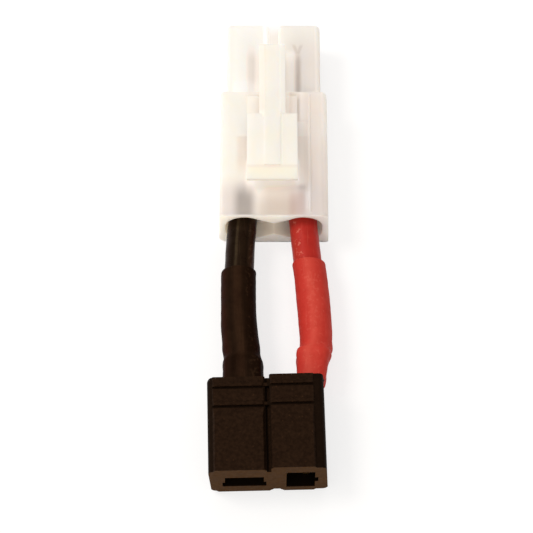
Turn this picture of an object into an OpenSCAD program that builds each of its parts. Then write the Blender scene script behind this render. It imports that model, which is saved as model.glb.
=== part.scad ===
// Battery connector adapter: a two-circuit latching nylon plug joined to a female
// T-slot connector by a black and a red silicone wire, lying flat on a table.
// X runs across the connectors, Y along the wires towards the nylon plug, Z up.

/* [Layout] */
// Gap between the rear faces of the two connectors
lead_gap = 24.6; // [22:0.2:40]
// Sideways place of the nylon plug's centre line
plug_x = 0.6; // [0:0.1:1.5]
// Sideways place of the T-slot connector's centre line at its rear face
t_x = -0.7; // [-1.5:0.1:0]
// Angle that the T-slot connector lies turned in plan
t_yaw = 1.4; // [0:0.2:4]

/* [Plug housing] */
// Width of the wide body at its back
body_w = 15.9; // [15.6:0.1:18]
// How much narrower each side is at the top
side_draft = 0.2; // [0:0.05:0.4]
// Thickness of the wide body
body_t = 8.3; // [8.3:0.1:10]
// Length of the wide body
body_len = 20.4; // [19.8:0.2:24]
// Edge radius of the square side
square_r = 0.5; // [0.3:0.1:1]
// Radius of the square side's lower edge
foot_r = 1.5; // [0.5:0.1:1.6]
// Edge radius of the keyed side
round_r = 1.2; // [0.6:0.1:2]
// Sideways place of the fine rib on the keyed side's top
side_rib_x = 5.17; // [5:0.01:5.4]
// Width of that rib at its foot
side_rib_w = 0.4; // [0.3:0.05:0.5]
// Height of that rib
side_rib_h = 0.12; // [0.1:0.02:0.2]
// Plan radius of the wide body's front corners
front_r = 0.9; // [0.4:0.1:1.2]
// Length of the two tubes ahead of the wide body
tube_len = 12; // [11.4:0.1:14]
// Width of each tube
tube_w = 6.2; // [6:0.1:6.6]
// Height of each tube
tube_h = 6.3; // [6.1:0.1:6.6]
// Radius of the keyed tube's outer edges
tube_round_r = 0.8; // [0.5:0.1:1.5]
// Radius of the tips' corners in plan
tip_r = 0.8; // [0.3:0.1:1]
// Distance between the two circuits
pitch = 7.55; // [7.5:0.05:7.8]
// Height of the wire mouths in the rear face
mouth_h = 7.1; // [6.6:0.1:7.2]
// Radius of the mouths' round ends, half their width
mouth_r = 2.8; // [2.7:0.05:2.9]
// How far the mouths lie outwards from the circuits' axes
mouth_out = 0.4; // [0.3:0.05:0.5]
// Depth of the wire mouths
mouth_len = 5; // [4:0.2:6]
// Half height of the neck where the two mouths join
mouth_neck = 1.7; // [1.2:0.1:2]
// Depth of the joined stretch of the mouths
recess_len = 2.4; // [1.6:0.1:3]
// Diameter of the chambers that hold the crimps
chamber_d = 5.3; // [5.3:0.05:5.6]
// Diameter of the bores in the tubes
bore_d = 4.2; // [4.1:0.1:4.6]
// Distance from the rear face to the neck that stops the contacts
neck_at = 17.6; // [17.4:0.1:18.2]
// Length of that neck
neck_len = 1.6; // [1.2:0.1:2]
// Length of the pockets that the lances open into
pocket_len = 2.8; // [2.7:0.1:3.2]
// Chamfer round the tube bores
rim_chamfer = 0.4; // [0.2:0.05:0.6]
// Height of the plinth under the latch
plinth_h = 0.6; // [0.3:0.1:0.8]
// Length of that plinth
plinth_len = 4.4; // [3.6:0.2:5]

/* [Latch lever] */
// Sideways place of the lever and its plinth, from the plug's centre line
latch_x = -0.22; // [-0.3:0.02:0]
// Distance from the rear face to the lever's web
pivot_at = 17.6; // [17.2:0.1:18.4]
// Distance from the rear face to the paddle's rear edge
paddle_at = 4.5; // [3.9:0.1:6]
// Length of the paddle
paddle_len = 11; // [10:0.1:11.6]
// Width of the paddle
paddle_w = 7.25; // [6.4:0.05:8]
// Thickness of the paddle
paddle_t = 1.2; // [1:0.1:1.5]
// How much the paddle rises to its ridge
paddle_rise = 0.9; // [0.4:0.1:1]
// Length of the sloped lip behind the ridge
lip_len = 1.9; // [1.5:0.1:3]
// Drop of the sloped lip
lip_drop = 0.4; // [0.2:0.1:0.6]
// Thickness of the lip at the paddle's rear edge
lip_t = 0.55; // [0.4:0.05:0.9]
// Reach of the arm ahead of the web
arm_reach = 9.7; // [9:0.1:11]
// Width of the arm
arm_w = 3.8; // [3.2:0.1:4.4]
// Width of the arm's flat top and of the rib on the paddle
arm_top_w = 2.35; // [2:0.05:2.8]
// Height of the arm's long bevels
arm_bevel = 0.4; // [0.2:0.1:0.6]
// Thickness of the arm
arm_t = 1.3; // [1:0.1:1.5]
// Height of the rib on the paddle
rib_h = 0.15; // [0.1:0.05:0.3]
// Depth of the hook under the arm's tip
hook_h = 0.7; // [0.5:0.1:0.8]
// Length of the hook
hook_len = 1.8; // [1.4:0.1:2.4]
// Thickness of the web
web_t = 0.9; // [0.7:0.1:1.1]
// Gap between the plinth and the arm's underside
arm_lift = 0.4; // [0.35:0.05:0.6]

/* [Socket contacts] */
// Inner radius of the socket that takes the mating pin
socket_r = 1.2; // [1.1:0.05:1.25]
// Sheet thickness of the contacts
sheet_t = 0.4; // [0.3:0.05:0.45]
// Length of the socket
socket_len = 8.3; // [7.5:0.1:9]
// Distance of the socket's tip behind the tube's tip
socket_recess = 1.3; // [0.8:0.1:2]
// Width of the socket's slit
slit_w = 0.5; // [0.3:0.1:0.7]
// Length of the flared tip of the slit
flare_len = 1.6; // [1:0.1:2]
// Inner radius of the trough between the socket and the wire crimp
trough_r = 0.75; // [0.6:0.05:0.8]
// Length of the trough's tapered ends
taper_len = 0.9; // [0.6:0.1:1.2]
// Distance from the rear face to the insulation crimp
crimp_at = 8; // [7.6:0.1:8.6]
// Length of the insulation crimp
ins_crimp_len = 3; // [2.4:0.1:3.2]
// Length of the wire crimp
wire_crimp_len = 3.7; // [3:0.1:4]
// Length of the step between the two crimps
crimp_step = 0.8; // [0.5:0.1:1]
// Thickness of the collar that stops at the neck
collar_t = 0.8; // [0.6:0.1:1]

/* [Wires] */
// Outer diameter of the insulation
wire_d = 4.05; // [3.8:0.05:4.1]
// Diameter of the stranded conductor
strand_d = 2.1; // [1.8:0.05:2.2]
// Length of bare strands between the tab and the insulation
bare_len = 0.6; // [0.5:0.1:1]
// Wall of the black shrink sleeve
black_sleeve_wall = 0.42; // [0.3:0.02:0.5]
// Wall of the red shrink sleeve
red_sleeve_wall = 0.27; // [0.25:0.01:0.35]
// Distance from the plug to the black sleeve
black_sleeve_at = 6.4; // [4:0.1:9]
// Distance from the plug to the red sleeve
red_sleeve_at = 4.9; // [4:0.1:9]
// Thickness of the solder round the strands
solder_t = 0.12; // [0.08:0.02:0.14]

/* [T-slot connector] */
// Width of the connector
t_w = 16; // [16:0.1:18]
// Length of the connector
t_len = 13.8; // [13:0.2:16]
// Thickness of the half with the flat blade
low_t = 8; // [7.7:0.1:8.3]
// Thickness of the half with the upright blade
high_t = 8.75; // [8.5:0.05:9.5]
// Height of the raised faces above the side strips
face_rise = 0.4; // [0.2:0.05:0.5]
// Bevel along the raised faces
face_bevel = 0.3; // [0.15:0.05:0.4]
// Width of the side strip by the flat blade
low_strip = 0.7; // [0.6:0.1:1.2]
// Width of the side strip by the upright blade
high_strip = 1.3; // [1:0.1:1.6]
// Sideways place of the groove between the raised faces
groove_x = 0.27; // [0:0.05:0.5]
// Width of that groove
groove_w = 0.75; // [0.6:0.05:1.2]
// Depth of that groove below the side strips
groove_d = 0.5; // [0.2:0.1:0.8]
// Sideways place of the groove in the back
key_x = 1.36; // [1.2:0.02:1.5]
// Width of the groove in the back
key_w = 1.4; // [1:0.1:1.6]
// Depth of the groove in the back
key_d = 0.7; // [0.5:0.1:1.4]
// Radius of the outer edges
t_edge_r = 0.8; // [0.3:0.1:1.2]
// How much the side by the upright blade flares out towards the back
side_flare = 0.35; // [0:0.05:0.5]
// How much the side by the flat blade leans in towards the back
side_lean = 0.35; // [0:0.05:0.5]
// Plan radius of the rear corners
t_rear_r = 0.7; // [0.3:0.1:1]
// Distance from the rear face to the first grip notch
notch_first = 1.45; // [1.2:0.05:2]
// Distance from one grip notch to the next
notch_step = 2.8; // [2.2:0.1:3.2]
// Width of a grip notch
notch_w = 0.35; // [0.2:0.05:0.5]
// Depth of a grip notch
notch_d = 0.5; // [0.3:0.05:0.6]
// Width of the raised lip behind each grip notch
lip_w = 0.45; // [0.3:0.05:0.6]
// How much the lips rise above the bands between them
band_rise = 0.2; // [0.1:0.05:0.3]
// Thickness of the rear wall
rear_wall = 2.6; // [2:0.1:3.5]

/* [Blade slots] */
// Sideways place of the flat slot
flat_x = -3.1; // [-3.3:0.05:-3]
// Width of the flat slot
flat_w = 5.3; // [5:0.1:5.4]
// Height of the flat slot
flat_h = 3.2; // [3.1:0.05:3.4]
// Lowest height of the flat slot
flat_z = 2; // [1.8:0.05:2.1]
// Width of the flat slot's lower step
step_w = 6; // [5.8:0.1:6.1]
// Height of that step
step_h = 1.45; // [1.3:0.05:1.6]
// Sideways place of the upright slot
upright_x = 4.57; // [4.5:0.01:4.7]
// Width of the upright slot
upright_w = 3.9; // [3.8:0.05:4]
// Height of the upright slot
upright_h = 5.3; // [5.1:0.1:5.5]
// Lowest height of the upright slot
upright_z = 1.35; // [1.2:0.05:1.5]
// Depth of the notch beside the upright slot
side_notch = 0.45; // [0.2:0.05:0.5]
// Height of that notch
side_notch_h = 1.5; // [1:0.1:2]

/* [Blades and springs] */
// Thickness of the blades
blade_t = 0.8; // [0.7:0.05:0.9]
// Distance of the blades and springs behind the mating face
blade_recess = 1.6; // [1.2:0.1:2.5]
// Length of the black wire's solder tab behind the rear face
black_tab_len = 3.8; // [3.4:0.1:5]
// Length of the red wire's solder tab behind the rear face
red_tab_len = 5; // [4:0.1:6]
// Width of the flat blade's tab
flat_tab_w = 3.8; // [3.4:0.1:4]
// Width of the upright blade's tab
upright_tab_w = 3.3; // [3:0.1:3.5]
// Chamfer of the tabs' corners
tab_chamfer = 0.6; // [0.4:0.1:0.8]
// Sideways place of the upright blade
upright_blade_x = 5.45; // [5.4:0.05:5.5]
// Thickness of the leaf springs
spring_t = 0.25; // [0.15:0.05:0.3]
// Bow of the leaf springs
spring_bow = 0.55; // [0.3:0.05:0.6]

/* [Hidden] */

// Small amount by which cuts run past the faces they open
cut = 0.1;
// Overlap that joins two cuts which only meet
join = 0.001;
// Clearance between pieces that are fitted by hand
fit_gap = 0.05;
// Clearance between a crimp and what it grips
crimp_gap = 0.04;
// Clearance of the contacts in the housing's passages
contact_gap = 0.15;
// Clearance between the sleeves and the rear face they reach
sleeve_end_gap = 0.25;
// Running clearance under the lever's web
web_gap = 0.12;
// Facets of the round bores and barrels
round_fn = 48;
// Facets of the swept wires and sleeves
sweep_fn = 20;
// Rings along each wire
wire_steps = 15;
// Rings along a sleeve's tab end, its step and its round stretch
tab_steps = 3;
step_steps = 4;
sleeve_steps = 10;

// Places along Y
total_len = tube_len + body_len + lead_gap + t_len;
plug_rear_y = total_len / 2 - tube_len - body_len;
t_rear_y = plug_rear_y - lead_gap;
plug_len = body_len + tube_len;
axis_z = body_t / 2;
side_angle = atan(side_draft / body_t);
half_pitch = pitch / 2;
wire_r = wire_d / 2;
strand_r = strand_d / 2;
crimp_out_r = wire_r + crimp_gap + sheet_t;
wire_crimp_at = crimp_at + ins_crimp_len + crimp_step;
wire_crimp_end = wire_crimp_at + wire_crimp_len;
socket_tip = plug_len - socket_recess;
socket_end = socket_tip - socket_len;
pivot_z = body_t + plinth_h + web_gap + web_t / 2;
arm_z = body_t + plinth_h + arm_lift;
mouth_cone_len = 1.2;
mouth_rise = mouth_h / 2 - mouth_r;
straight_at = crimp_at - 0.5;
pocket_d = chamber_d - 0.1;
wire_crimp_r = strand_r + crimp_gap;
collar_at = neck_at - fit_gap - collar_t;

// Heights in the T-slot connector
low_face = low_t - face_rise;
high_face = high_t - face_rise;
flat_blade_z = flat_z + fit_gap;
flat_blade_w = step_w - 2 * fit_gap;
flat_blade_top = flat_blade_z + blade_t;
upright_mid_z = upright_z + upright_h / 2;
upright_blade_h = upright_h - 2 * fit_gap;
spring_margin = 0.3;
spring_w_flat = flat_w - 2 * spring_margin;
spring_w_upright = upright_h - 2 * spring_margin;

// Where the strands lie on the tabs, in the T-slot connector's own frame
black_tab_x = flat_x;
black_tab_z = flat_blade_top + fit_gap + strand_r;
red_tab_x = upright_blade_x + blade_t / 2 + fit_gap + strand_r;
red_tab_z = upright_mid_z;
strand_end = 0.8;
solder_end = 0.3;

// Room round each tab with its strands, as the sleeve's inner centre and half sizes
tab_room = 0.15;
black_room_top = black_tab_z + strand_r + solder_t + 2 * tab_room;
black_room_foot = flat_blade_z - 2 * tab_room;
black_tab_c = [flat_x, (black_room_top + black_room_foot) / 2];
black_tab_half = [flat_tab_w / 2 + 3 * tab_room, (black_room_top - black_room_foot) / 2];
red_room_left = upright_blade_x - blade_t / 2 - 2 * tab_room;
red_room_right = red_tab_x + strand_r + solder_t + tab_room;
red_tab_c = [(red_room_left + red_room_right) / 2, upright_mid_z];
red_tab_half = [(red_room_right - red_room_left) / 2, upright_tab_w / 2 + 4 * tab_room];

// A point of the T-slot connector's own frame, put in its place on the table
function t_point(x, y) = [t_x + x * cos(t_yaw) - y * sin(t_yaw),
    t_rear_y + x * sin(t_yaw) + y * cos(t_yaw)];

// Routes of the wires, as [y, x, z] from the tab to the crimp
black_tab_a = t_point(black_tab_x, strand_end);
black_tab_b = t_point(black_tab_x, black_tab_len);
red_tab_a = t_point(red_tab_x, strand_end);
red_tab_b = t_point(red_tab_x, red_tab_len);
black_x = plug_x - half_pitch;
red_x = plug_x + half_pitch;
// Places of the bends along the straight line between the ends, as shares of it,
// and how far each bend stands out sideways from that line
bow_at = [0.07, 0.2, 0.4, 0.6, 0.8];
black_bow = [0.12, 0.43, 0.75, 1.07, 0.74];
red_bow = [0.42, 0.57, 0.4, 0.12, 0];

black_route = route(black_tab_a, black_tab_b, black_tab_z, black_x, -1, black_bow);
red_route = route(red_tab_a, red_tab_b, red_tab_z, red_x, 1, red_bow);

function mix(a, b, t) = a + (b - a) * t;
function smooth(t) = let(u = min(max(t, 0), 1)) u * u * (3 - 2 * u);

// The tab stretch, the bends between the connectors and the straight stretch in the plug
function route(tab_a, tab_b, tab_z, end_x, side, bow) = let(
    y0 = tab_b[1],
    y1 = plug_rear_y + straight_at)
    concat(
        [[tab_a[1], tab_a[0], tab_z], [y0, tab_b[0], tab_z]],
        [for (i = [0 : len(bow) - 1]) let(t = bow_at[i])
            [mix(y0, y1, t), mix(tab_b[0], end_x, t) + side * bow[i], mix(tab_z, axis_z, t)]],
        [[y1, end_x, axis_z], [plug_rear_y + wire_crimp_end, end_x, axis_z]]);

// Slope of the route at its point i, per unit of y
function slope(p, i) = let(a = max(i - 1, 0), b = min(i + 1, len(p) - 1))
    (p[b] - p[a]) / (p[b][0] - p[a][0]);
// Index of the stretch that holds y
function stretch(p, y, i = 0) =
    (i >= len(p) - 2 || y <= p[i + 1][0]) ? i : stretch(p, y, i + 1);
// The route's place at y, on one smooth cubic for each stretch
function route_at(p, y) = let(
    i = stretch(p, y),
    h = p[i + 1][0] - p[i][0],
    t = (y - p[i][0]) / h,
    m0 = (i == 0 || i == len(p) - 2) ? (p[i + 1] - p[i]) / h : slope(p, i),
    m1 = (i == 0 || i == len(p) - 2) ? (p[i + 1] - p[i]) / h : slope(p, i + 1))
    (2 * t * t * t - 3 * t * t + 1) * p[i] + (t * t * t - 2 * t * t + t) * h * m0
    + (3 * t * t - 2 * t * t * t) * p[i + 1] + (t * t * t - t * t) * h * m1;

// One ring of a sweep: a superellipse of half sizes a and b and power n about c
function ring(c, a, b, n) = [for (k = [0 : sweep_fn - 1]) let(
    w = 360 * (k + 0.5) / sweep_fn,
    f = pow(pow(abs(cos(w)), n) + pow(abs(sin(w)), n), -1 / n))
    [c[1] + a * f * cos(w), c[0], c[2] + b * f * sin(w)]];

// Faces of a stack of rings that runs towards +Y, closed at both ends
function stack_faces(rings) = concat(
    [[for (k = [0 : sweep_fn - 1]) k]],
    [[for (k = [sweep_fn - 1 : -1 : 0]) (rings - 1) * sweep_fn + k]],
    [for (r = [0 : rings - 2]) for (k = [0 : sweep_fn - 1]) let(k2 = (k + 1) % sweep_fn)
        each [[r * sweep_fn + k, (r + 1) * sweep_fn + k, (r + 1) * sweep_fn + k2],
            [r * sweep_fn + k, (r + 1) * sweep_fn + k2, r * sweep_fn + k2]]]);

module stack(rings) {
    polyhedron(points = [for (r = rings) each r], faces = stack_faces(len(rings)));
}

// Outward faces of the side wall between rings, counted from the point first
function wall_faces(rings, first, inward) = [for (r = [0 : rings - 2])
    for (k = [0 : sweep_fn - 1]) let(
        a = first + r * sweep_fn + k,
        b = first + r * sweep_fn + (k + 1) % sweep_fn,
        c = a + sweep_fn,
        d = b + sweep_fn)
    each inward ? [[a, d, c], [a, b, d]] : [[a, c, d], [a, d, b]]];

// Flat end of a hollow stack, between its outer ring and its inner ring
function end_faces(outer, inner, turned) = [for (k = [0 : sweep_fn - 1]) let(
    k2 = (k + 1) % sweep_fn)
    each turned ? [[outer + k2, outer + k, inner + k], [outer + k2, inner + k, inner + k2]]
        : [[outer + k, outer + k2, inner + k2], [outer + k, inner + k2, inner + k]]];

// A tube wall: outer and inner rings at the same places
module hollow_stack(outer, inner) {
    n = len(outer);
    size = n * sweep_fn;
    last = (n - 1) * sweep_fn;
    polyhedron(
        points = concat([for (r = outer) each r], [for (r = inner) each r]),
        faces = concat(wall_faces(n, 0, false), wall_faces(n, size, true),
            end_faces(0, size, false), end_faces(last, size + last, true)));
}

// Round sweep of radius r along a route from y0 to y1
module swept(p, r, y0, y1, steps) {
    stack([for (i = [0 : steps]) let(y = mix(y0, y1, i / steps)) ring(route_at(p, y), r, r, 2)]);
}

// Extrude a flat XZ section from y0 to y1
module along_y(y0, y1) {
    translate([0, y1, 0]) rotate([90, 0, 0]) linear_extrude(y1 - y0) children();
}

// Extrude a flat YZ section from x0 to x1
module along_x(x0, x1) {
    translate([x0, 0, 0]) rotate([90, 0, 90]) linear_extrude(x1 - x0) children();
}

function unit(v) = v / norm(v);

// Both tangent points and the centre of the fillet of radius r at corner b
function fillet(a, b, c, r) = let(
    u = unit(a - b),
    v = unit(c - b),
    half = acos(u * v) / 2)
    [b + u * r / tan(half), b + v * r / tan(half), b + unit(u + v) * r / sin(half)];

// Convex outline, given against the clock, with its own radius at each corner
module soft_outline(points, radii) {
    n = len(points);
    fillets = [for (i = [0 : n - 1])
        fillet(points[(i + n - 1) % n], points[i], points[(i + 1) % n], radii[i])];
    polygon([for (i = [0 : n - 1])
        each radii[i] > 0 ? [fillets[i][0], fillets[i][1]] : [points[i]]]);
    for (i = [0 : n - 1]) if (radii[i] > 0)
        translate(fillets[i][2]) circle(r = radii[i], $fn = round_fn);
}

// Rectangle from lo to hi, its radii given from the lower left corner round
// to the upper left one
module soft_rect(lo, hi, radii) {
    soft_outline([lo, [hi[0], lo[1]], hi, [lo[0], hi[1]]], radii);
}

// Put a piece in the plug's place: its Y counts from the plug's rear face
module in_plug() {
    translate([plug_x, plug_rear_y, 0]) children();
}

// The same on one circuit's axis: side is -1 for black and 1 for red
module in_circuit(side) {
    in_plug() translate([side * half_pitch, 0, axis_z]) children();
}

// Put a piece in the T-slot connector's place: its Y counts from the rear face
module in_t() {
    translate([t_x, t_rear_y, 0]) rotate([0, 0, t_yaw]) children();
}

// The wide body's section: both sides lean in towards the top
module body_section() {
    half = body_w / 2;
    top = half - side_draft;
    soft_outline([[-half, 0], [half, 0], [top, body_t], [-top, body_t]],
        [foot_r, square_r, round_r, square_r]);
}

module wide_body() {
    intersection() {
        along_y(0, body_len) body_section();
        translate([0, 0, -cut]) linear_extrude(body_t + 2 * cut)
            soft_rect([-body_w / 2 - cut, 0], [body_w / 2 + cut, body_len], [0, 0, front_r, front_r]);
    }
}

// One tube: the red one is keyed by its round outer edges
module tube(side) {
    outer_r = side > 0 ? tube_round_r : square_r;
    lo = [-tube_w / 2, axis_z - tube_h / 2];
    hi = [tube_w / 2, axis_z + tube_h / 2];
    root = neck_at + neck_len;
    translate([side * half_pitch, 0, 0]) intersection() {
        along_y(root, plug_len) soft_rect(lo, hi, [square_r, outer_r, outer_r, square_r]);
        linear_extrude(body_t)
            soft_rect([lo[0] - cut, root - 1], [hi[0] + cut, plug_len], [0, 0, tip_r, tip_r]);
    }
}

// Upright mouth for one wire, with round ends
module mouth_section(side) {
    translate([side * mouth_out, 0]) {
        for (z = [-mouth_rise, mouth_rise]) translate([0, z]) circle(r = mouth_r, $fn = round_fn);
        square([2 * mouth_r, 2 * mouth_rise], center = true);
    }
}

// The stepped passage of one circuit, from the rear mouth to the tube's tip
module passage(side) {
    pocket_at = neck_at + neck_len;
    along_y(-cut, mouth_len) mouth_section(side);
    rotate([-90, 0, 0]) {
        translate([0, 0, mouth_len - join])
            cylinder(d1 = 2 * mouth_r, d2 = chamber_d, h = mouth_cone_len, $fn = round_fn);
        translate([0, 0, plug_len - rim_chamfer + join]) cylinder(d1 = bore_d,
            d2 = bore_d + 2 * rim_chamfer, h = rim_chamfer, $fn = round_fn);
    }
    along_y(mouth_len, neck_at) circle(d = chamber_d, $fn = round_fn);
    along_y(neck_at - cut, plug_len + cut) circle(d = bore_d, $fn = round_fn);
    along_y(pocket_at, pocket_at + pocket_len) circle(d = pocket_d, $fn = round_fn);
}

// Opens a mouth towards the middle: flanks that run nearly along its round ends'
// tangents, down to the neck where it meets the other mouth
module mouth_join(side) {
    inset = 0.96;
    reach = [half_pitch + mouth_out, mouth_neck - mouth_rise];
    turn = atan(reach[1] / reach[0]) + acos(mouth_r / norm(reach));
    touch = [side * (mouth_out - inset * mouth_r * cos(turn)),
        mouth_rise + inset * mouth_r * sin(turn)];
    middle = -side * (half_pitch + join);
    in_circuit(side) along_y(-cut, recess_len) polygon([
        [middle, -mouth_neck], [middle, mouth_neck], touch, [touch[0], -touch[1]]]);
}

// Fine rib along the top of the keyed side
module side_rib() {
    half = side_rib_w / 2;
    along_y(side_rib_w, body_len - side_rib_w) polygon([
        [side_rib_x - half, body_t - cut], [side_rib_x + half, body_t - cut],
        [side_rib_x + half, body_t], [side_rib_x + half / 2, body_t + side_rib_h],
        [side_rib_x - half / 2, body_t + side_rib_h], [side_rib_x - half, body_t]]);
}

// Low block, its ends sloped at 45 degrees, that carries the latch's web
module plinth() {
    y0 = pivot_at - plinth_len / 2;
    y1 = pivot_at + plinth_len / 2;
    top = body_t + plinth_h;
    along_x(latch_x - paddle_w / 2, latch_x + paddle_w / 2) polygon([
        [y0, body_t - cut], [y1, body_t - cut], [y1, body_t],
        [y1 - plinth_h, top], [y0 + plinth_h, top], [y0, body_t]]);
}

module plug_housing() {
    color([0.95, 0.91, 0.84]) difference() {
        in_plug() {
            wide_body();
            tube(-1);
            tube(1);
            plinth();
            side_rib();
        }
        for (side = [-1, 1]) {
            in_circuit(side) passage(side);
            mouth_join(side);
        }
    }
}

// Side view of the paddle: it rises to a ridge and drops to its rear lip
module paddle_profile(lift) {
    y0 = paddle_at;
    y1 = paddle_at + paddle_len;
    front = arm_z + arm_t - rib_h + lift;
    ridge = front + paddle_rise;
    polygon([
        [y1, front - paddle_t - lift], [y1, front], [y0 + lip_len, ridge],
        [y0, ridge - lip_drop], [y0, ridge - lip_drop - lip_t],
        [y0 + lip_len, ridge - paddle_t - lift]]);
}

// Side view of the arm with the hook under its tip
module arm_profile() {
    y0 = paddle_at + paddle_len - arm_t / 2;
    y1 = pivot_at + arm_reach;
    top = arm_z + arm_t;
    tip_bevel = arm_t * 0.2;
    polygon([
        [y0, arm_z], [y1 - hook_len, arm_z], [y1 - hook_len, arm_z - hook_h],
        [y1 - hook_len / 2, arm_z - hook_h], [y1, arm_z + 2 * tip_bevel],
        [y1, top - tip_bevel], [y1 - tip_bevel, top], [y0, top]]);
}

// Section of the arm, with its two long bevels
module arm_section() {
    half = arm_w / 2;
    top = arm_z + arm_t;
    step = (arm_w - arm_top_w) / 2 / arm_bevel;
    over = arm_top_w / 2 - cut * step;
    polygon([
        [-half, arm_z - 2 * hook_h], [half, arm_z - 2 * hook_h], [half, top - arm_bevel],
        [over, top + cut], [-over, top + cut], [-half, top - arm_bevel]]);
}

module latch_lever() {
    rib_at = paddle_at + lip_len + rib_h;
    color([0.95, 0.91, 0.84]) in_plug() translate([latch_x, 0, 0]) {
        along_x(-paddle_w / 2, paddle_w / 2) paddle_profile(0);
        intersection() {
            along_x(-arm_top_w / 2, arm_top_w / 2) paddle_profile(rib_h);
            translate([-arm_w, rib_at, 0]) cube([2 * arm_w, paddle_len, 2 * arm_z]);
        }
        intersection() {
            along_x(-arm_w, arm_w) arm_profile();
            along_y(0, 2 * plug_len) arm_section();
        }
        along_x(-arm_w / 2, arm_w / 2) {
            translate([pivot_at, pivot_z]) circle(d = web_t, $fn = round_fn);
            translate([pivot_at - web_t / 2, pivot_z]) square([web_t, arm_z + cut - pivot_z]);
        }
    }
}

// Two spring tongues that open rearwards into the housing's pocket
module lances() {
    y0 = neck_at + neck_len + contact_gap;
    y1 = neck_at + neck_len + pocket_len - contact_gap;
    in_r = trough_r + sheet_t * 0.5;
    out_r = pocket_d / 2 - contact_gap;
    tongue_w = 1.2;
    for (side = [-1, 1]) translate([0, 0, -tongue_w / 2]) linear_extrude(tongue_w) polygon([
        [side * in_r, y1], [side * (in_r + sheet_t * 0.5), y1], [side * out_r, y0],
        [side * (out_r - sheet_t), y0]]);
}

// Inner radii of the rolled contact along Y, as [radius, y] from its rear end
contact_line = [
    [crimp_out_r - sheet_t, crimp_at], [crimp_out_r - sheet_t, crimp_at + ins_crimp_len],
    [wire_crimp_r, wire_crimp_at], [wire_crimp_r, wire_crimp_end],
    [trough_r, wire_crimp_end + taper_len], [trough_r, socket_end - taper_len],
    [socket_r, socket_end], [socket_r, socket_tip]];

// The whole contact as one rolled sheet, before its seams are opened
module rolled_sheet() {
    n = len(contact_line);
    rotate([-90, 0, 0]) rotate_extrude($fn = round_fn) polygon(concat(
        contact_line, [for (i = [n - 1 : -1 : 0]) contact_line[i] + [sheet_t, 0]]));
}

// Opens a seam of the given width above the height z, from y0 to y1
module seam(y0, y1, width, z) {
    translate([-width / 2, y0, z]) cube([width, y1 - y0, wire_d]);
}

// Collar that stops at the housing's neck, cut off level with the trough
module collar() {
    along_y(collar_at, collar_at + collar_t) difference() {
        circle(r = chamber_d / 2 - contact_gap, $fn = round_fn);
        circle(r = trough_r + sheet_t / 2, $fn = round_fn);
        translate([-chamber_d, sheet_t]) square([2 * chamber_d, chamber_d]);
    }
}

// Stamped and rolled socket with its two crimps
module socket_contact(side) {
    flare_w = 1.6 * slit_w;
    open_w = 2 * wire_d;
    color([0.78, 0.72, 0.58]) in_circuit(side) {
        difference() {
            rolled_sheet();
            seam(crimp_at - cut, wire_crimp_at, 2 * slit_w, 0);
            seam(crimp_at + ins_crimp_len + fit_gap, wire_crimp_at - fit_gap, open_w, -2 * sheet_t);
            seam(wire_crimp_at, wire_crimp_end, slit_w, wire_crimp_r + sheet_t / 4);
            seam(wire_crimp_end + fit_gap, socket_end - fit_gap, open_w, sheet_t);
            seam(socket_end - cut, socket_tip + cut, slit_w, 0);
            linear_extrude(wire_d) polygon([
                [0, socket_tip - 2 * flare_len], [flare_w, socket_tip + cut],
                [-flare_w, socket_tip + cut]]);
        }
        collar();
        lances();
    }
}

module conductor(route_pts, shade) {
    color(shade) swept(route_pts, strand_r, route_pts[0][0],
        plug_rear_y + wire_crimp_end - fit_gap, wire_steps);
}

// Insulation with the strands' passage through it
module insulation(route_pts, tab_b, shade) {
    y0 = tab_b[1] + bare_len;
    y1 = plug_rear_y + crimp_at + ins_crimp_len - fit_gap;
    in_r = strand_r + fit_gap;
    ys = [for (i = [0 : wire_steps]) mix(y0, y1, i / wire_steps)];
    color(shade) hollow_stack([for (y = ys) ring(route_at(route_pts, y), wire_r, wire_r, 2)],
        [for (y = ys) ring(route_at(route_pts, y), in_r, in_r, 2)]);
}

// Shrink sleeve: round on the wire, and drawn round the tab and the strands
// at the T-slot connector. tab_c and tab_h are that end's centre and half sizes.
module sleeve(route_pts, tab_b, tab_c, tab_h, y1, sleeve_wall, shade) {
    y0 = t_point(tab_c[0], sleeve_end_gap)[1];
    drawn_y = tab_b[1] - tab_chamfer / 2;
    round_y = tab_b[1] + bare_len - fit_gap;
    in_r = wire_r + fit_gap;
    ys = concat(
        [for (i = [0 : tab_steps - 1]) mix(y0, drawn_y, i / tab_steps)],
        [for (i = [0 : step_steps - 1]) mix(drawn_y, round_y, i / step_steps)],
        [for (i = [0 : sleeve_steps]) mix(round_y, y1, i / sleeve_steps)]);
    function sleeve_ring(y, wall) = let(
        w = smooth((round_y - y) / (round_y - drawn_y)),
        c = route_at(route_pts, y),
        yaw_c = t_point(tab_c[0], y - t_rear_y))
        ring([y, mix(c[1], yaw_c[0], w), mix(c[2], tab_c[1], w)],
            mix(in_r, tab_h[0], w) + wall, mix(in_r, tab_h[1], w) + wall, mix(2, 4, w));
    color(shade) hollow_stack([for (y = ys) sleeve_ring(y, sleeve_wall)],
        [for (y = ys) sleeve_ring(y, 0)]);
}

// Solder round the strands, down to the tab's face: angle turns it to the tab
module solder_joint(x, z, tab_len, angle) {
    r = strand_r + solder_t;
    foot = -strand_r - fit_gap / 2;
    color([0.72, 0.72, 0.74]) in_t()
        along_y(strand_end + solder_end, tab_len - tab_chamfer - solder_end)
            translate([x, z]) rotate(angle) difference() {
                union() {
                    circle(r = r, $fn = round_fn);
                    translate([-r, foot]) square([2 * r, strand_r]);
                }
                circle(r = strand_r + fit_gap / 4, $fn = round_fn);
                translate([-2 * r, foot - 2 * r]) square([4 * r, 2 * r]);
            }
}

function notch_y(i) = -(notch_first + i * notch_step);

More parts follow.
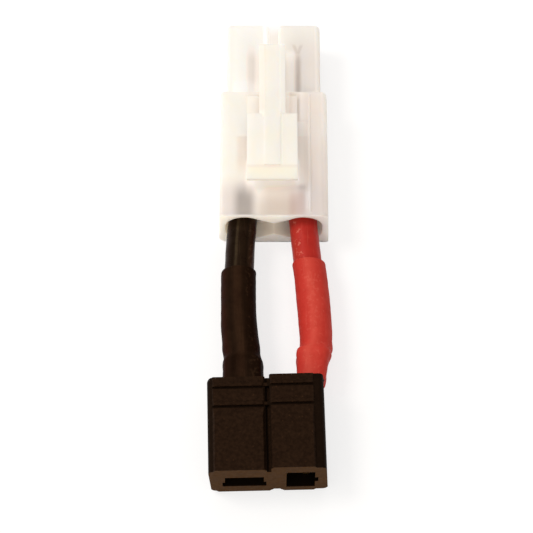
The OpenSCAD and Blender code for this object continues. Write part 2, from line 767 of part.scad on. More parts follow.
// Long section of a raised face: a band, a lip and a notch, twice over
function grip_line(z) = concat(
    [[0, z - band_rise]],
    [for (i = [0, 1]) let(y = notch_y(i))
        each [[y + lip_w + band_rise, z - band_rise], [y + lip_w, z], [y, z], [y, z - notch_d],
            [y - notch_w, z - notch_d], [y - notch_w, z - band_rise]]],
    [[notch_y(1.5) - notch_w, z], [-t_len, z]]);

// Raised face from x0 to x1 with bevelled long edges, up to the height top
module raised_face(x0, x1, top) {
    base = top - face_rise;
    intersection() {
        along_y(-t_len, 0) polygon([[x0, base - cut], [x1, base - cut], [x1, base],
            [x1 - face_bevel, top], [x0 + face_bevel, top], [x0, base]]);
        along_x(x0 - cut, x1 + cut) polygon(concat([[-t_len, base - 2 * cut]],
            [[0, base - 2 * cut]], grip_line(top)));
    }
}

// The two halves differ in thickness, so that the upright blade has room
module t_block() {
    half = t_w / 2;
    r = t_edge_r;
    along_y(-t_len, 0) {
        soft_outline([[side_lean - half, face_rise], [groove_x + cut, face_rise],
            [groove_x + cut, low_face], [-half, low_face]], [r, 0, 0, r]);
        soft_outline([[groove_x, face_rise], [half + side_flare, face_rise],
            [half, high_face], [groove_x, high_face]], [0, r, r, 0]);
    }
}

// Bars that carry the grip lips across the groove between the raised faces
module lip_bars() {
    overlap = face_bevel / 2;
    w = groove_w + 2 * overlap;
    foot = low_face - groove_d - cut;
    for (i = [0, 1]) translate([groove_x - w / 2, notch_y(i), foot])
        cube([w, lip_w, low_t - band_rise - foot]);
}

module t_faces() {
    half = t_w / 2;
    left = -half + low_strip;
    right = half - high_strip;
    raised_face(left, groove_x - groove_w / 2, low_t);
    raised_face(groove_x + groove_w / 2, right, high_t);
    translate([0, 0, face_rise]) mirror([0, 0, 1]) {
        raised_face(left + side_lean, key_x - key_w / 2, face_rise);
        raised_face(key_x + key_w / 2, right, face_rise);
    }
}

// Room for the mating blades, the springs and the tabs
module t_slots() {
    front = -t_len - cut;
    back = -rear_wall;
    along_y(front, back) {
        translate([flat_x - flat_w / 2, flat_z]) square([flat_w, flat_h]);
        translate([flat_x - step_w / 2, flat_z]) square([step_w, step_h]);
        translate([upright_x - upright_w / 2, upright_z]) square([upright_w, upright_h]);
        translate([upright_x, upright_mid_z - side_notch_h / 2])
            square([upright_w / 2 + side_notch, side_notch_h]);
    }
    along_y(back - cut, cut) {
        translate([flat_x - flat_tab_w / 2 - fit_gap, flat_blade_z - fit_gap])
            square([flat_tab_w + 2 * fit_gap, blade_t + 2 * fit_gap]);
        translate([upright_blade_x - blade_t / 2 - fit_gap,
            upright_mid_z - upright_tab_w / 2 - fit_gap])
            square([blade_t + 2 * fit_gap, upright_tab_w + 2 * fit_gap]);
    }
}

module t_grooves() {
    along_y(-t_len - cut, cut) {
        translate([groove_x - groove_w * 0.4, low_face - groove_d])
            square([groove_w * 0.8, high_t]);
        polygon([[key_x - key_w / 2, -cut], [key_x + key_w / 2, -cut],
            [key_x + key_w / 3, key_d], [key_x - key_w / 3, key_d]]);
    }
}

module t_housing() {
    half = t_w / 2;
    color([0.11, 0.09, 0.08]) in_t() {
        difference() {
            intersection() {
                union() {
                    t_block();
                    t_faces();
                }
                translate([0, 0, -cut]) linear_extrude(high_t + 2 * cut) soft_rect(
                    [-half, -t_len], [half + side_flare, 0], [0, 0, t_rear_r, t_rear_r]);
            }
            t_grooves();
            t_slots();
        }
        lip_bars();
    }
}

// Blade in its slot, with a narrower solder tab out of the rear wall
module blade(w, tab, tab_len) {
    front = -t_len + blade_recess;
    shoulder = -rear_wall - fit_gap;
    nose = 0.4;
    c = tab_chamfer;
    linear_extrude(blade_t) polygon([
        [nose - w / 2, front], [w / 2 - nose, front], [w / 2, front + nose], [w / 2, shoulder],
        [tab / 2, shoulder], [tab / 2, tab_len - c], [tab / 2 - c, tab_len],
        [c - tab / 2, tab_len], [-tab / 2, tab_len - c], [-tab / 2, shoulder],
        [-w / 2, shoulder], [-w / 2, front + nose]]);
}

module blade_contact_black() {
    color([0.85, 0.68, 0.32]) in_t() translate([flat_x, 0, flat_blade_z])
        blade(flat_blade_w, flat_tab_w, black_tab_len);
}

module blade_contact_red() {
    color([0.85, 0.68, 0.32]) in_t()
        translate([upright_blade_x + blade_t / 2, 0, upright_mid_z]) rotate([0, -90, 0])
            blade(upright_blade_h, upright_tab_w, red_tab_len);
}

// Leaf spring: flat feet at both ends and a bow between them, of width w
module leaf_spring(w) {
    front = -t_len + blade_recess;
    back = -rear_wall - 2 * fit_gap;
    foot = 0.8;
    span = back - front - 2 * foot;
    steps = 12;
    bow = [for (i = [0 : steps]) [front + foot + span * i / steps,
        -spring_bow * (1 - cos(360 * i / steps)) / 2]];
    along_x(-w / 2, w / 2) polygon(concat(
        [[front, 0]], bow, [[back, 0], [back, -spring_t]],
        [for (i = [steps : -1 : 0]) bow[i] - [0, spring_t]], [[front, -spring_t]]));
}

module leaf_spring_black() {
    color([0.82, 0.66, 0.34]) in_t() translate([flat_x, 0, flat_z + flat_h - fit_gap])
        leaf_spring(spring_w_flat);
}

module leaf_spring_red() {
    color([0.82, 0.66, 0.34]) in_t()
        translate([upright_x - upright_w / 2 + fit_gap, 0, upright_mid_z]) rotate([0, -90, 0])
            leaf_spring(spring_w_upright);
}

plug_housing();
latch_lever();
socket_contact(-1);  // socket_contact_black
socket_contact(1);  // socket_contact_red
conductor(black_route, [0.75, 0.5, 0.35]);  // conductor_black
conductor(red_route, [0.75, 0.5, 0.35]);  // conductor_red
insulation(black_route, black_tab_b, [0.12, 0.1, 0.09]);  // insulation_black
insulation(red_route, red_tab_b, [0.7, 0.16, 0.13]);  // insulation_red
sleeve(black_route, black_tab_b, black_tab_c, black_tab_half,  // shrink_sleeve_black
        plug_rear_y - black_sleeve_at, black_sleeve_wall, [0.14, 0.1, 0.08]);
sleeve(red_route, red_tab_b, red_tab_c, red_tab_half,  // shrink_sleeve_red
        plug_rear_y - red_sleeve_at, red_sleeve_wall, [0.8, 0.25, 0.2]);
solder_joint(black_tab_x, black_tab_z, black_tab_len, 0);  // solder_joint_black
solder_joint(red_tab_x, red_tab_z, red_tab_len, -90);  // solder_joint_red
t_housing();
blade_contact_black();
blade_contact_red();
leaf_spring_black();
leaf_spring_red();
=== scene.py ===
"""Looks of a battery connector adapter: a natural nylon latching plug joined to a
black T-slot connector by a black and a red silicone wire, lying on a pale table.

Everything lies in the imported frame: X across, Y towards the nylon plug's tubes, Z up
from the table, in metres. Sizes written here are in millimetres times MM.
"""

import math

import bmesh
import bpy
import numpy as np
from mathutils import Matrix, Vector


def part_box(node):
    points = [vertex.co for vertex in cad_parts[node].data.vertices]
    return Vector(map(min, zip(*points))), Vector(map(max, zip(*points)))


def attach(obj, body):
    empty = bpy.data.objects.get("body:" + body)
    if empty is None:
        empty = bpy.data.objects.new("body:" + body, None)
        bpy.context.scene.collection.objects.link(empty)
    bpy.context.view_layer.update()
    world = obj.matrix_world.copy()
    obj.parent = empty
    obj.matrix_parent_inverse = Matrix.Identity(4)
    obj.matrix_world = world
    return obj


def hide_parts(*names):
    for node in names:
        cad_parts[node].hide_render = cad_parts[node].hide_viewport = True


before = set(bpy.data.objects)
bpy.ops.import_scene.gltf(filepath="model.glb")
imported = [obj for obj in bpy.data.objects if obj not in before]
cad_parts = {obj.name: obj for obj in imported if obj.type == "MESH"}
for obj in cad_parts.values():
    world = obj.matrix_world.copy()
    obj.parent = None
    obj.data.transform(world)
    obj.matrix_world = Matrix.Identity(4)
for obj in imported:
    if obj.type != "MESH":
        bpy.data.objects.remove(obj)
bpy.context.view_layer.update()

MM = 0.001
TURN = 2 * math.pi

# ---- Camera, fitted to the edges of both connectors in the photograph

FRAME_PX = 533
FOCAL_PX = 2200.2
SENSOR = 36.0
VIEW_ELEVATION = math.radians(63.725)
VIEW_DISTANCE = 313.742 * MM
VIEW_TARGET = np.array([-0.458, -2.954, 4.0]) * MM


def place_camera():
    """The camera looks along +Y and down, from VIEW_DISTANCE behind VIEW_TARGET."""
    data = bpy.data.cameras.new("camera")
    data.sensor_width = SENSOR
    data.lens = FOCAL_PX / FRAME_PX * SENSOR
    data.clip_start, data.clip_end = 0.01, 5.0
    camera = bpy.data.objects.new("camera", data)
    bpy.context.collection.objects.link(camera)
    ahead = np.array([0.0, math.cos(VIEW_ELEVATION), -math.sin(VIEW_ELEVATION)])
    camera.location = VIEW_TARGET - VIEW_DISTANCE * ahead
    camera.rotation_euler = (math.pi / 2 - VIEW_ELEVATION, 0.0, 0.0)
    bpy.context.scene.camera = camera


place_camera()

# ---- Places of both connectors

# The nylon plug's centre line and rear face
plug_low, plug_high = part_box("plug_housing")
PLUG_X = (plug_low[0] + plug_high[0]) / 2
PLUG_REAR = plug_low[1]

# The T-slot connector's own frame: the middle of its rear face, and its turn in plan
T_ORIGIN = (-0.7 * MM, -21.6 * MM, 0.0)
T_YAW = math.radians(1.4)
# In that frame: its length, the step between its two raised faces and their heights
T_LENGTH, T_STEP, T_LOW_TOP, T_HIGH_TOP = 13.8 * MM, 0.27 * MM, 8.0 * MM, 8.75 * MM
# In that frame: the walls of its blade slots, as left, right, foot and roof in mm
SLOT_WALLS = ((-6.15, -0.05, 1.95, 5.25), (2.57, 7.02, 1.3, 6.7))
SLOT_BLUR = 0.05 * MM

# ---- Shader nodes


def add_node(tree, kind, inputs=None, **settings):
    """One shader node. inputs maps a socket's name or number to a value or to another
    node's output, and settings are the node's own properties."""
    node = tree.nodes.new(kind)
    for name, value in settings.items():
        setattr(node, name, value)
    for socket, value in (inputs or {}).items():
        if isinstance(value, bpy.types.NodeSocket):
            tree.links.new(value, node.inputs[socket])
        else:
            node.inputs[socket].default_value = value
    return node


def math_node(tree, operation, a, b=0.0, c=0.5):
    """Output of one Math node. The third value counts in Multiply Add alone."""
    return add_node(tree, "ShaderNodeMath", {0: a, 1: b, 2: c}, operation=operation).outputs[0]


def product(tree, a, b):
    """Output that holds a times b."""
    return math_node(tree, "MULTIPLY", a, b)


def smooth_step(tree, value, start, end):
    """0 below start and 1 above end, with a smooth step between them."""
    return add_node(tree, "ShaderNodeMapRange",
                    {"Value": value, "From Min": start, "From Max": end},
                    interpolation_type="SMOOTHSTEP").outputs["Result"]


def mix_colour(tree, amount, a, b, blend="MIX"):
    """Output of a Mix node, whose colour sockets are inputs 6 and 7 and output 2."""
    return add_node(tree, "ShaderNodeMix", {0: amount, 6: a, 7: b}, data_type="RGBA",
                    blend_type=blend).outputs[2]


def tinted(tree, colour, tone, mask, strength):
    """A colour that turns towards the tone under a mask, by the given strength."""
    return mix_colour(tree, product(tree, mask, strength), colour, tone)


def part_along(tree, vector, axis):
    """Output that holds one part of a vector: X, Y or Z."""
    return add_node(tree, "ShaderNodeSeparateXYZ", {0: vector}).outputs[axis]


def noise(tree, place, scale, detail=3.0, stretch=(1, 1, 1), roughness=0.55):
    """Noise of the given size: scale is in lumps per metre, and stretch makes a lump
    longer along an axis."""
    mapped = add_node(tree, "ShaderNodeMapping",
                      {"Vector": place, "Scale": tuple(1 / s for s in stretch)})
    return add_node(tree, "ShaderNodeTexNoise",
                    {"Vector": mapped.outputs[0], "Scale": scale, "Detail": detail,
                     "Roughness": roughness}).outputs["Fac"]


def new_group(name, vectors, values, outputs):
    """A node group with vector inputs, number inputs with their starting values, and
    number outputs: its tree, its input node and its output node."""
    tree = bpy.data.node_groups.new(name, "ShaderNodeTree")
    for label in vectors:
        tree.interface.new_socket(label, in_out="INPUT", socket_type="NodeSocketVector")
    for label, start in values.items():
        socket = tree.interface.new_socket(label, in_out="INPUT",
                                           socket_type="NodeSocketFloat")
        socket.default_value = start
    for label in outputs:
        tree.interface.new_socket(label, in_out="OUTPUT", socket_type="NodeSocketFloat")
    return tree, tree.nodes.new("NodeGroupInput"), tree.nodes.new("NodeGroupOutput")


def use_group(tree, group, inputs):
    """A node group placed in a tree, its inputs given as add_node takes them."""
    return add_node(tree, "ShaderNodeGroup", inputs, node_tree=group)


def make_soft_window():
    """Group: 1 inside a box in X and Y and 0 outside it, with soft sides and ends."""
    tree, given, result = new_group(
        "soft_window", ["Place"],
        {"Left": 0.0, "Right": 1.0, "Rear": 0.0, "Front": 1.0, "Side blur": 1.0,
         "Rear blur": 1.0, "Front blur": 1.0}, ["Mask"])
    xyz = add_node(tree, "ShaderNodeSeparateXYZ", {0: given.outputs["Place"]})
    mask = None
    for axis, low, high, low_blur, high_blur in (
            ("X", "Left", "Right", "Side blur", "Side blur"),
            ("Y", "Rear", "Front", "Rear blur", "Front blur")):
        for edge, blur, sign in ((low, low_blur, 1), (high, high_blur, -1)):
            gap = math_node(tree, "SUBTRACT", xyz.outputs[axis], given.outputs[edge])
            inside = product(tree, gap, sign)
            part = smooth_step(tree, math_node(tree, "DIVIDE", inside, given.outputs[blur]),
                               -0.5, 0.5)
            mask = part if mask is None else product(tree, mask, part)
    tree.links.new(mask, result.inputs["Mask"])
    return tree


def make_in_mouths():
    """Group: the nylon plug's rear face and the skin of its wire mouths. Inside is 1
    there, and fades from Front on. Across runs from 0 at the left edge to 1 at the right
    one, and Low from 1 at the foot to 0 at the middle height."""
    tree, given, result = new_group(
        "in_mouths", ["Place", "Facing"],
        {"Middle": 0.0, "Half width": 1.0, "Wall": 0.0, "Foot": 0.0, "Top": 0.0,
         "Front": 1.0, "Front blur": 1.0}, ["Inside", "Across", "Low"])
    xyz = add_node(tree, "ShaderNodeSeparateXYZ", {0: given.outputs["Place"]})
    sideways = math_node(tree, "SUBTRACT", xyz.outputs["X"], given.outputs["Middle"])
    wall = math_node(tree, "SUBTRACT", given.outputs["Half width"], math_node(
        tree, "ABSOLUTE", sideways))
    inside = smooth_step(tree, math_node(tree, "SUBTRACT", wall, given.outputs["Wall"]),
                         -0.15 * MM, 0.0)
    for edge, sign in (("Foot", 1), ("Top", -1)):
        gap = math_node(tree, "SUBTRACT", xyz.outputs["Z"], given.outputs[edge])
        part = smooth_step(tree, product(tree, gap, sign), -0.1 * MM, 0.0)
        inside = product(tree, inside, part)
    behind = math_node(tree, "SUBTRACT", given.outputs["Front"], xyz.outputs["Y"])
    shallow = smooth_step(tree, math_node(tree, "DIVIDE", behind, given.outputs["Front blur"]),
                          -0.5, 0.5)
    facing = part_along(tree, given.outputs["Facing"], "Y")
    face = smooth_step(tree, product(tree, facing, -1), 0.3, 0.8)
    inside = math_node(tree, "MAXIMUM", inside, face)
    tree.links.new(product(tree, shallow, inside), result.inputs["Inside"])
    across = math_node(tree, "DIVIDE", sideways, given.outputs["Half width"])
    tree.links.new(math_node(tree, "MULTIPLY_ADD", across, 0.5), result.inputs["Across"])
    height = math_node(tree, "SUBTRACT", xyz.outputs["Z"], given.outputs["Foot"])
    tree.links.new(smooth_step(tree, height, 3.2 * MM, 0.4 * MM), result.inputs["Low"])
    return tree


def make_forked_tip():
    """Group: a two-pronged mark that lies along Y: 1 on prongs which part from Root to
    Tip by Spread to either side of Middle, each of the width Thick."""
    tree, given, result = new_group(
        "forked_tip", ["Place"],
        {"Middle": 0.0, "Root": 0.0, "Tip": 1.0, "Spread": 1.0, "Thick": 1.0}, ["Mask"])
    xyz = add_node(tree, "ShaderNodeSeparateXYZ", {0: given.outputs["Place"]})
    length = math_node(tree, "SUBTRACT", given.outputs["Tip"], given.outputs["Root"])
    along = math_node(tree, "DIVIDE", math_node(
        tree, "SUBTRACT", xyz.outputs["Y"], given.outputs["Root"]), length)
    apart = math_node(tree, "ABSOLUTE", math_node(
        tree, "SUBTRACT", xyz.outputs["X"], given.outputs["Middle"]))
    spread = product(tree, along, given.outputs["Spread"])
    off = math_node(tree, "ABSOLUTE", math_node(tree, "SUBTRACT", apart, spread))
    prong = smooth_step(tree, math_node(tree, "DIVIDE", off, given.outputs["Thick"]), 1.0, 0.2)
    begun = smooth_step(tree, along, -0.1, 0.2)
    ended = smooth_step(tree, along, 1.1, 0.7)
    tree.links.new(product(tree, prong, product(tree, begun, ended)), result.inputs["Mask"])
    return tree


def make_sunk_places():
    """Group: the places of the slotted connector that get painted shade, darker than its
    faces. Strips is 1 on what lies a little below the two raised faces, whose heights differ
    either side of Step. Slots is 1 on the walls inside the two blade slots."""
    tree, given, result = new_group(
        "sunk_places", ["Place"],
        {"Step": 0.0, "Low top": 0.0, "High top": 0.0, "Mouth": 0.0}, ["Strips", "Slots"])
    xyz = add_node(tree, "ShaderNodeSeparateXYZ", {0: given.outputs["Place"]})
    high = math_node(tree, "GREATER_THAN", xyz.outputs["X"], given.outputs["Step"])
    rise = math_node(tree, "SUBTRACT", given.outputs["High top"], given.outputs["Low top"])
    top = math_node(tree, "ADD", given.outputs["Low top"], product(tree, high, rise))
    depth = math_node(tree, "SUBTRACT", top, xyz.outputs["Z"])
    near = smooth_step(tree, depth, 0.24 * MM, 0.38 * MM)
    far = smooth_step(tree, depth, 1.5 * MM, 1.1 * MM)
    tree.links.new(product(tree, near, far), result.inputs["Strips"])
    section = add_node(tree, "ShaderNodeCombineXYZ", {
        "X": xyz.outputs["X"], "Y": xyz.outputs["Z"]}).outputs[0]
    inside = None
    for left, right, foot, roof in SLOT_WALLS:
        part = use_group(tree, soft_window, {
            "Place": section, "Left": left * MM, "Right": right * MM, "Rear": foot * MM,
            "Front": roof * MM, "Side blur": SLOT_BLUR, "Rear blur": SLOT_BLUR,
            "Front blur": SLOT_BLUR}).outputs["Mask"]
        inside = part if inside is None else math_node(tree, "MAXIMUM", inside, part)
    behind = math_node(tree, "SUBTRACT", xyz.outputs["Y"], given.outputs["Mouth"])
    begun = smooth_step(tree, behind, 0.02 * MM, 0.2 * MM)
    tree.links.new(product(tree, inside, begun), result.inputs["Slots"])
    return tree


def make_moulded_grain():
    """Group: the skin of moulded plastic or rubber. Height is fine grain with a slow
    wave under it, Mottle a slow patchiness and Fleck sparse small specks."""
    tree, given, result = new_group(
        "moulded_grain", ["Place"],
        {"Grain per metre": 8000.0, "Wave per metre": 400.0, "Fleck amount": 0.2},
        ["Height", "Mottle", "Fleck"])
    place = given.outputs["Place"]
    grain = noise(tree, place, given.outputs["Grain per metre"], detail=2.0)
    wave = noise(tree, place, given.outputs["Wave per metre"], detail=2.0)
    fine = product(tree, grain, 0.35)
    tree.links.new(math_node(tree, "ADD", fine, wave), result.inputs["Height"])
    slow = noise(tree, place, given.outputs["Wave per metre"], detail=5.0, roughness=0.7)
    tree.links.new(smooth_step(tree, slow, 0.32, 0.7), result.inputs["Mottle"])
    specks = add_node(tree, "ShaderNodeTexVoronoi", {
        "Vector": place, "Scale": product(tree, given.outputs["Grain per metre"], 0.25)})
    dots = smooth_step(tree, specks.outputs["Distance"], 0.26, 0.1)
    chosen = smooth_step(tree, add_node(
        tree, "ShaderNodeSeparateColor", {0: specks.outputs["Color"]}).outputs[0], 0.72, 0.9)
    fleck = product(tree, product(tree, dots, chosen), given.outputs["Fleck amount"])
    tree.links.new(fleck, result.inputs["Fleck"])
    return tree


def make_rub_marks():
    """Group: short rubbed streaks along Y, few and faint, as handling leaves on rubber."""
    tree, given, result = new_group(
        "rub_marks", ["Place"],
        {"Marks per metre": 1500.0, "Least": 0.62, "Most": 0.75}, ["Mask"])
    place = given.outputs["Place"]
    streaks = noise(tree, place, given.outputs["Marks per metre"], detail=4.0,
                    stretch=(1, 5, 1), roughness=0.6)
    patches = noise(tree, place, 260.0, detail=1.0)
    lines = smooth_step(tree, streaks, given.outputs["Least"], given.outputs["Most"])
    tree.links.new(product(tree, lines, smooth_step(tree, patches, 0.45, 0.6)),
                   result.inputs["Mask"])
    return tree


soft_window = make_soft_window()
in_mouths = make_in_mouths()
forked_tip = make_forked_tip()
sunk_places = make_sunk_places()
moulded_grain = make_moulded_grain()
rub_marks = make_rub_marks()


def srgb(red, green, blue):
    """A colour written as 0 to 255 display values, as the linear colour nodes take."""
    values = np.array([red, green, blue]) / 255
    linear = np.where(values <= 0.04045, values / 12.92, ((values + 0.055) / 1.055) ** 2.4)
    return (*linear.tolist(), 1.0)


def new_material(name, **constants):
    """A material with one Principled shader: its tree, its shader and the Object
    coordinate. constants are set on the shader's own sockets."""
    material = bpy.data.materials.new(name)
    material.use_nodes = True
    tree = material.node_tree
    shader = tree.nodes["Principled BSDF"]
    for socket, value in constants.items():
        shader.inputs[socket.replace("_", " ")].default_value = value
    place = tree.nodes.new("ShaderNodeTexCoord").outputs["Object"]
    return material, tree, shader, place


def bump(tree, shader, height, depth):
    """Feeds the shader's normal from a height, of the given real depth in metres."""
    node = add_node(tree, "ShaderNodeBump", {"Height": height, "Distance": depth})
    tree.links.new(node.outputs[0], shader.inputs["Normal"])


def set_roughness(tree, shader, value, low, high):
    """Feeds the shader's roughness from a value, low at 0 and high at 1."""
    rough = add_node(tree, "ShaderNodeMapRange", {"Value": value, "To Min": low,
                                                  "To Max": high})
    tree.links.new(rough.outputs[0], shader.inputs["Roughness"])


# ---- Materials

DARK = (0, 0, 0, 1)
WHITE = (1, 1, 1, 1)
# The nylon's two tones and flecks, and the black moulding's flecks, its painted shade on
# the sunk strips and in the slots, and the lighter tones painted on its mating end as lit
NYLON_TONES = (srgb(255, 246, 238), srgb(255, 248, 242))
NYLON_FLECK = srgb(240, 226, 206)
MOULDING_FLECK = srgb(82, 55, 34)
STRIP_SHADE_TONE = srgb(18, 10, 6)
SLOT_SHADE_TONE = srgb(20, 14, 8)
END_LIT_TONES = (srgb(77, 48, 11), srgb(69, 42, 8))
# The lightest tone of the painted highlight and shade round a tube: the ramps hold shares of
# it
FULL_TONE = 3.0


def colour_ramp(tree, value, stops):
    """Output of a Color Ramp with the given (place, colour) stops, eased between them."""
    node = add_node(tree, "ShaderNodeValToRGB", {0: value})
    ramp = node.color_ramp
    ramp.interpolation = "EASE"
    for stop in stops[1:-1]:
        ramp.elements.new(stop[0])
    for element, (place, colour) in zip(ramp.elements, stops):
        element.position = place
        element.color = colour
    return node.outputs[0]


def plug_window(tree, place, sizes):
    """Mask of a soft window over the nylon plug: left, right, rear and front in mm from
    its centre line and rear face, then the blurs of the sides, the rear and the front."""
    labels = ("Left", "Right", "Rear", "Front", "Side blur", "Rear blur", "Front blur")
    starts = (PLUG_X, PLUG_X, PLUG_REAR, PLUG_REAR, 0.0, 0.0, 0.0)
    window = {label: start + size * MM for label, start, size in zip(labels, starts, sizes)}
    return use_group(tree, soft_window, {"Place": place, **window}).outputs["Mask"]


def natural_nylon(name, scatter, tints, painted_glows, fork=None, mouths=None):
    """Cream translucent nylon, in which light travels the length scatter. tints lists what
    shows dimly through it and where shade is painted, each as a tone, a strength and a
    plug_window, and painted_glows where a painted glow stands in for light that comes
    through thin stuff of its upper half, each as a strength and a plug_window. fork gives
    the forked tip of a contact that shows through, and mouths the rear face and wire
    mouths, which get a painted glow for the room's light that their thin walls let in,
    with painted shade at the foot."""
    material, tree, shader, place = new_material(
        name, Subsurface_Weight=1.0, Subsurface_Scale=scatter, IOR=1.53,
        Subsurface_Radius=(1.0, 0.9, 0.75), Specular_IOR_Level=0.25, Emission_Strength=1.0)
    grain = use_group(tree, moulded_grain, {"Place": place, "Grain per metre": 4200.0,
                                            "Wave per metre": 190.0, "Fleck amount": 0.1})
    colour = mix_colour(tree, grain.outputs["Mottle"], *NYLON_TONES)
    colour = mix_colour(tree, grain.outputs["Fleck"], colour, NYLON_FLECK)
    # Things seen through the nylon, and painted shade
    for tone, strength, *sizes in tints:
        colour = tinted(tree, colour, tone, plug_window(tree, place, sizes), strength)
    if fork:
        prongs = use_group(tree, forked_tip, {"Place": place, **fork}).outputs["Mask"]
        colour = tinted(tree, colour, GREY_THROUGH, prongs, FORK_STRENGTH)
    tree.links.new(colour, shader.inputs["Base Color"])
    # Painted glow, put out as emission
    glow = DARK
    if mouths:
        facing = tree.nodes.new("ShaderNodeTexCoord").outputs["Normal"]
        part = use_group(tree, in_mouths, {"Place": place, "Facing": facing, **mouths})
        glow = colour_ramp(tree, part.outputs["Across"], REAR_PAINTED_GLOW)
        glow = tinted(tree, glow, DARK, part.outputs["Low"], LOW_SHADE)
        glow = mix_colour(tree, part.outputs["Inside"], DARK, glow)
    upper = smooth_step(tree, part_along(tree, place, "Z"), 3.5 * MM, 5.0 * MM)
    # Painted glow where light would come through thin nylon of the upper half
    for strength, *sizes in painted_glows:
        amount = product(tree, plug_window(tree, place, sizes), strength)
        amount = product(tree, amount, upper)
        glow = mix_colour(tree, amount, glow, PAINTED_GLOW, "ADD")
    tree.links.new(glow, shader.inputs["Emission Color"])
    set_roughness(tree, shader, grain.outputs["Mottle"], 0.32, 0.44)
    bump(tree, shader, grain.outputs["Height"], 0.012 * MM)
    return material


def black_moulding(name, face, speck, roughness):
    """Black glass-filled nylon: a fine matt grain, brown mottle, painted shade on the strips
    beside the raised faces and in the slots, and a browner, lighter tone painted on the
    mating end for the light it catches."""
    material, tree, shader, place = new_material(
        name, Specular_IOR_Level=0.04, Specular_Tint=(1.0, 0.75, 0.5, 1.0))
    grain = use_group(tree, moulded_grain, {"Place": place, "Grain per metre": 9000.0,
                                            "Wave per metre": 2100.0, "Fleck amount": 0.3})
    colour = mix_colour(tree, grain.outputs["Mottle"], face, speck)
    colour = mix_colour(tree, grain.outputs["Fleck"], colour, MOULDING_FLECK)
    own = add_node(tree, "ShaderNodeMapping", {
        "Vector": place, "Location": T_ORIGIN, "Rotation": (0, 0, T_YAW)},
        vector_type="TEXTURE").outputs[0]
    sunk = use_group(tree, sunk_places, {
        "Place": own, "Step": T_STEP, "Low top": T_LOW_TOP, "High top": T_HIGH_TOP,
        "Mouth": -T_LENGTH})
    # Painted shade on the strips just below the raised faces
    colour = tinted(tree, colour, STRIP_SHADE_TONE, sunk.outputs["Strips"], 0.7)
    # Painted light: the mating end's face is painted in lighter, browner tones
    normal = tree.nodes.new("ShaderNodeTexCoord").outputs["Normal"]
    facing = smooth_step(tree, part_along(tree, normal, "Y"), -0.6, -0.95)
    last = smooth_step(tree, part_along(tree, own, "Y"), -13.2 * MM, -13.5 * MM)
    slow = noise(tree, place, 900.0, detail=4.0, roughness=0.65)
    end_lit_tone = mix_colour(tree, smooth_step(tree, slow, 0.3, 0.7), *END_LIT_TONES)
    colour = tinted(tree, colour, end_lit_tone, product(tree, facing, last), 0.9)
    # Painted shade inside the blade slots
    colour = mix_colour(tree, sunk.outputs["Slots"], colour, SLOT_SHADE_TONE)
    tree.links.new(colour, shader.inputs["Base Color"])
    set_roughness(tree, shader, grain.outputs["Mottle"], roughness, roughness - 0.12)
    bump(tree, shader, grain.outputs["Height"], 0.02 * MM)
    return material


def turn_round_tube(tree):
    """Place round a tube's section from its around attribute: 0.25 at the left, 0.5 on
    top and 0.75 at the right."""
    arm = add_node(tree, "ShaderNodeAttribute", attribute_name="around").outputs["Vector"]
    angle = math_node(tree, "ARCTAN2", part_along(tree, arm, "X"), part_along(tree, arm, "Z"))
    return math_node(tree, "MULTIPLY_ADD", angle, 1 / TURN)


def painted_light_round(tree, turn, stops):
    """Painted highlight and shade round a tube's section, over FULL_TONE, from stops of
    (turn, lightness, share of green and blue)."""
    return colour_ramp(tree, turn, [
        (place, (tone / FULL_TONE, tone * cool / FULL_TONE, tone * cool / FULL_TONE, 1))
        for place, tone, cool in stops])


def scuffed_band(tree, place, turn, first, last):
    """Mask of small broken scuffs in a band between two turns, where a wire was rubbed."""
    soft = 0.02
    band = product(tree, smooth_step(tree, turn, first - soft, first + soft),
                   smooth_step(tree, turn, last + soft, last - soft))
    flecks = smooth_step(tree, noise(tree, place, 2300.0, detail=1.5), 0.55, 0.62)
    gaps = smooth_step(tree, noise(tree, place, 700.0, detail=1.0), 0.42, 0.52)
    return product(tree, band, product(tree, flecks, gaps))


def rubbed_rubber(name, base, deep, mark, roughness, specular, sheen, mark_strength,
                  grain_depth, painted_light, scuffs):
    """Silicone or shrink tubing: two close tones, faint rub marks and a soft surface.
    sheen tints its shine, painted_light gives the painted highlight and shade round its
    section, and scuffs gives the first and last turn of a scuffed band and its strength."""
    material, tree, shader, place = new_material(name, Specular_IOR_Level=specular,
                                                 Specular_Tint=sheen)
    grain = use_group(tree, moulded_grain, {"Place": place, "Grain per metre": 6000.0,
                                            "Wave per metre": 500.0, "Fleck amount": 0.15})
    marks = use_group(tree, rub_marks, {"Place": place}).outputs["Mask"]
    colour = mix_colour(tree, grain.outputs["Mottle"], base, deep)
    colour = tinted(tree, colour, mark, marks, mark_strength)
    lines = noise(tree, place, 3600.0, stretch=(1, 16, 1))
    colour = tinted(tree, colour, mark, smooth_step(tree, lines, 0.56, 0.7), 0.14)
    # Painted highlight and shade round the tube's section
    colour = mix_colour(tree, 1.0, colour, (FULL_TONE, FULL_TONE, FULL_TONE, 1),
                        "MULTIPLY")
    turn = turn_round_tube(tree)
    colour = mix_colour(tree, 1.0, colour, painted_light_round(tree, turn, painted_light), "MULTIPLY")
    first, last, strength = scuffs
    worn = scuffed_band(tree, place, turn, first, last)
    colour = tinted(tree, colour, mark, worn, strength)
    tree.links.new(colour, shader.inputs["Base Color"])
    set_roughness(tree, shader, grain.outputs["Mottle"], roughness - 0.05,
                  roughness + 0.07)
    bump(tree, shader, grain.outputs["Height"], grain_depth)
    return material


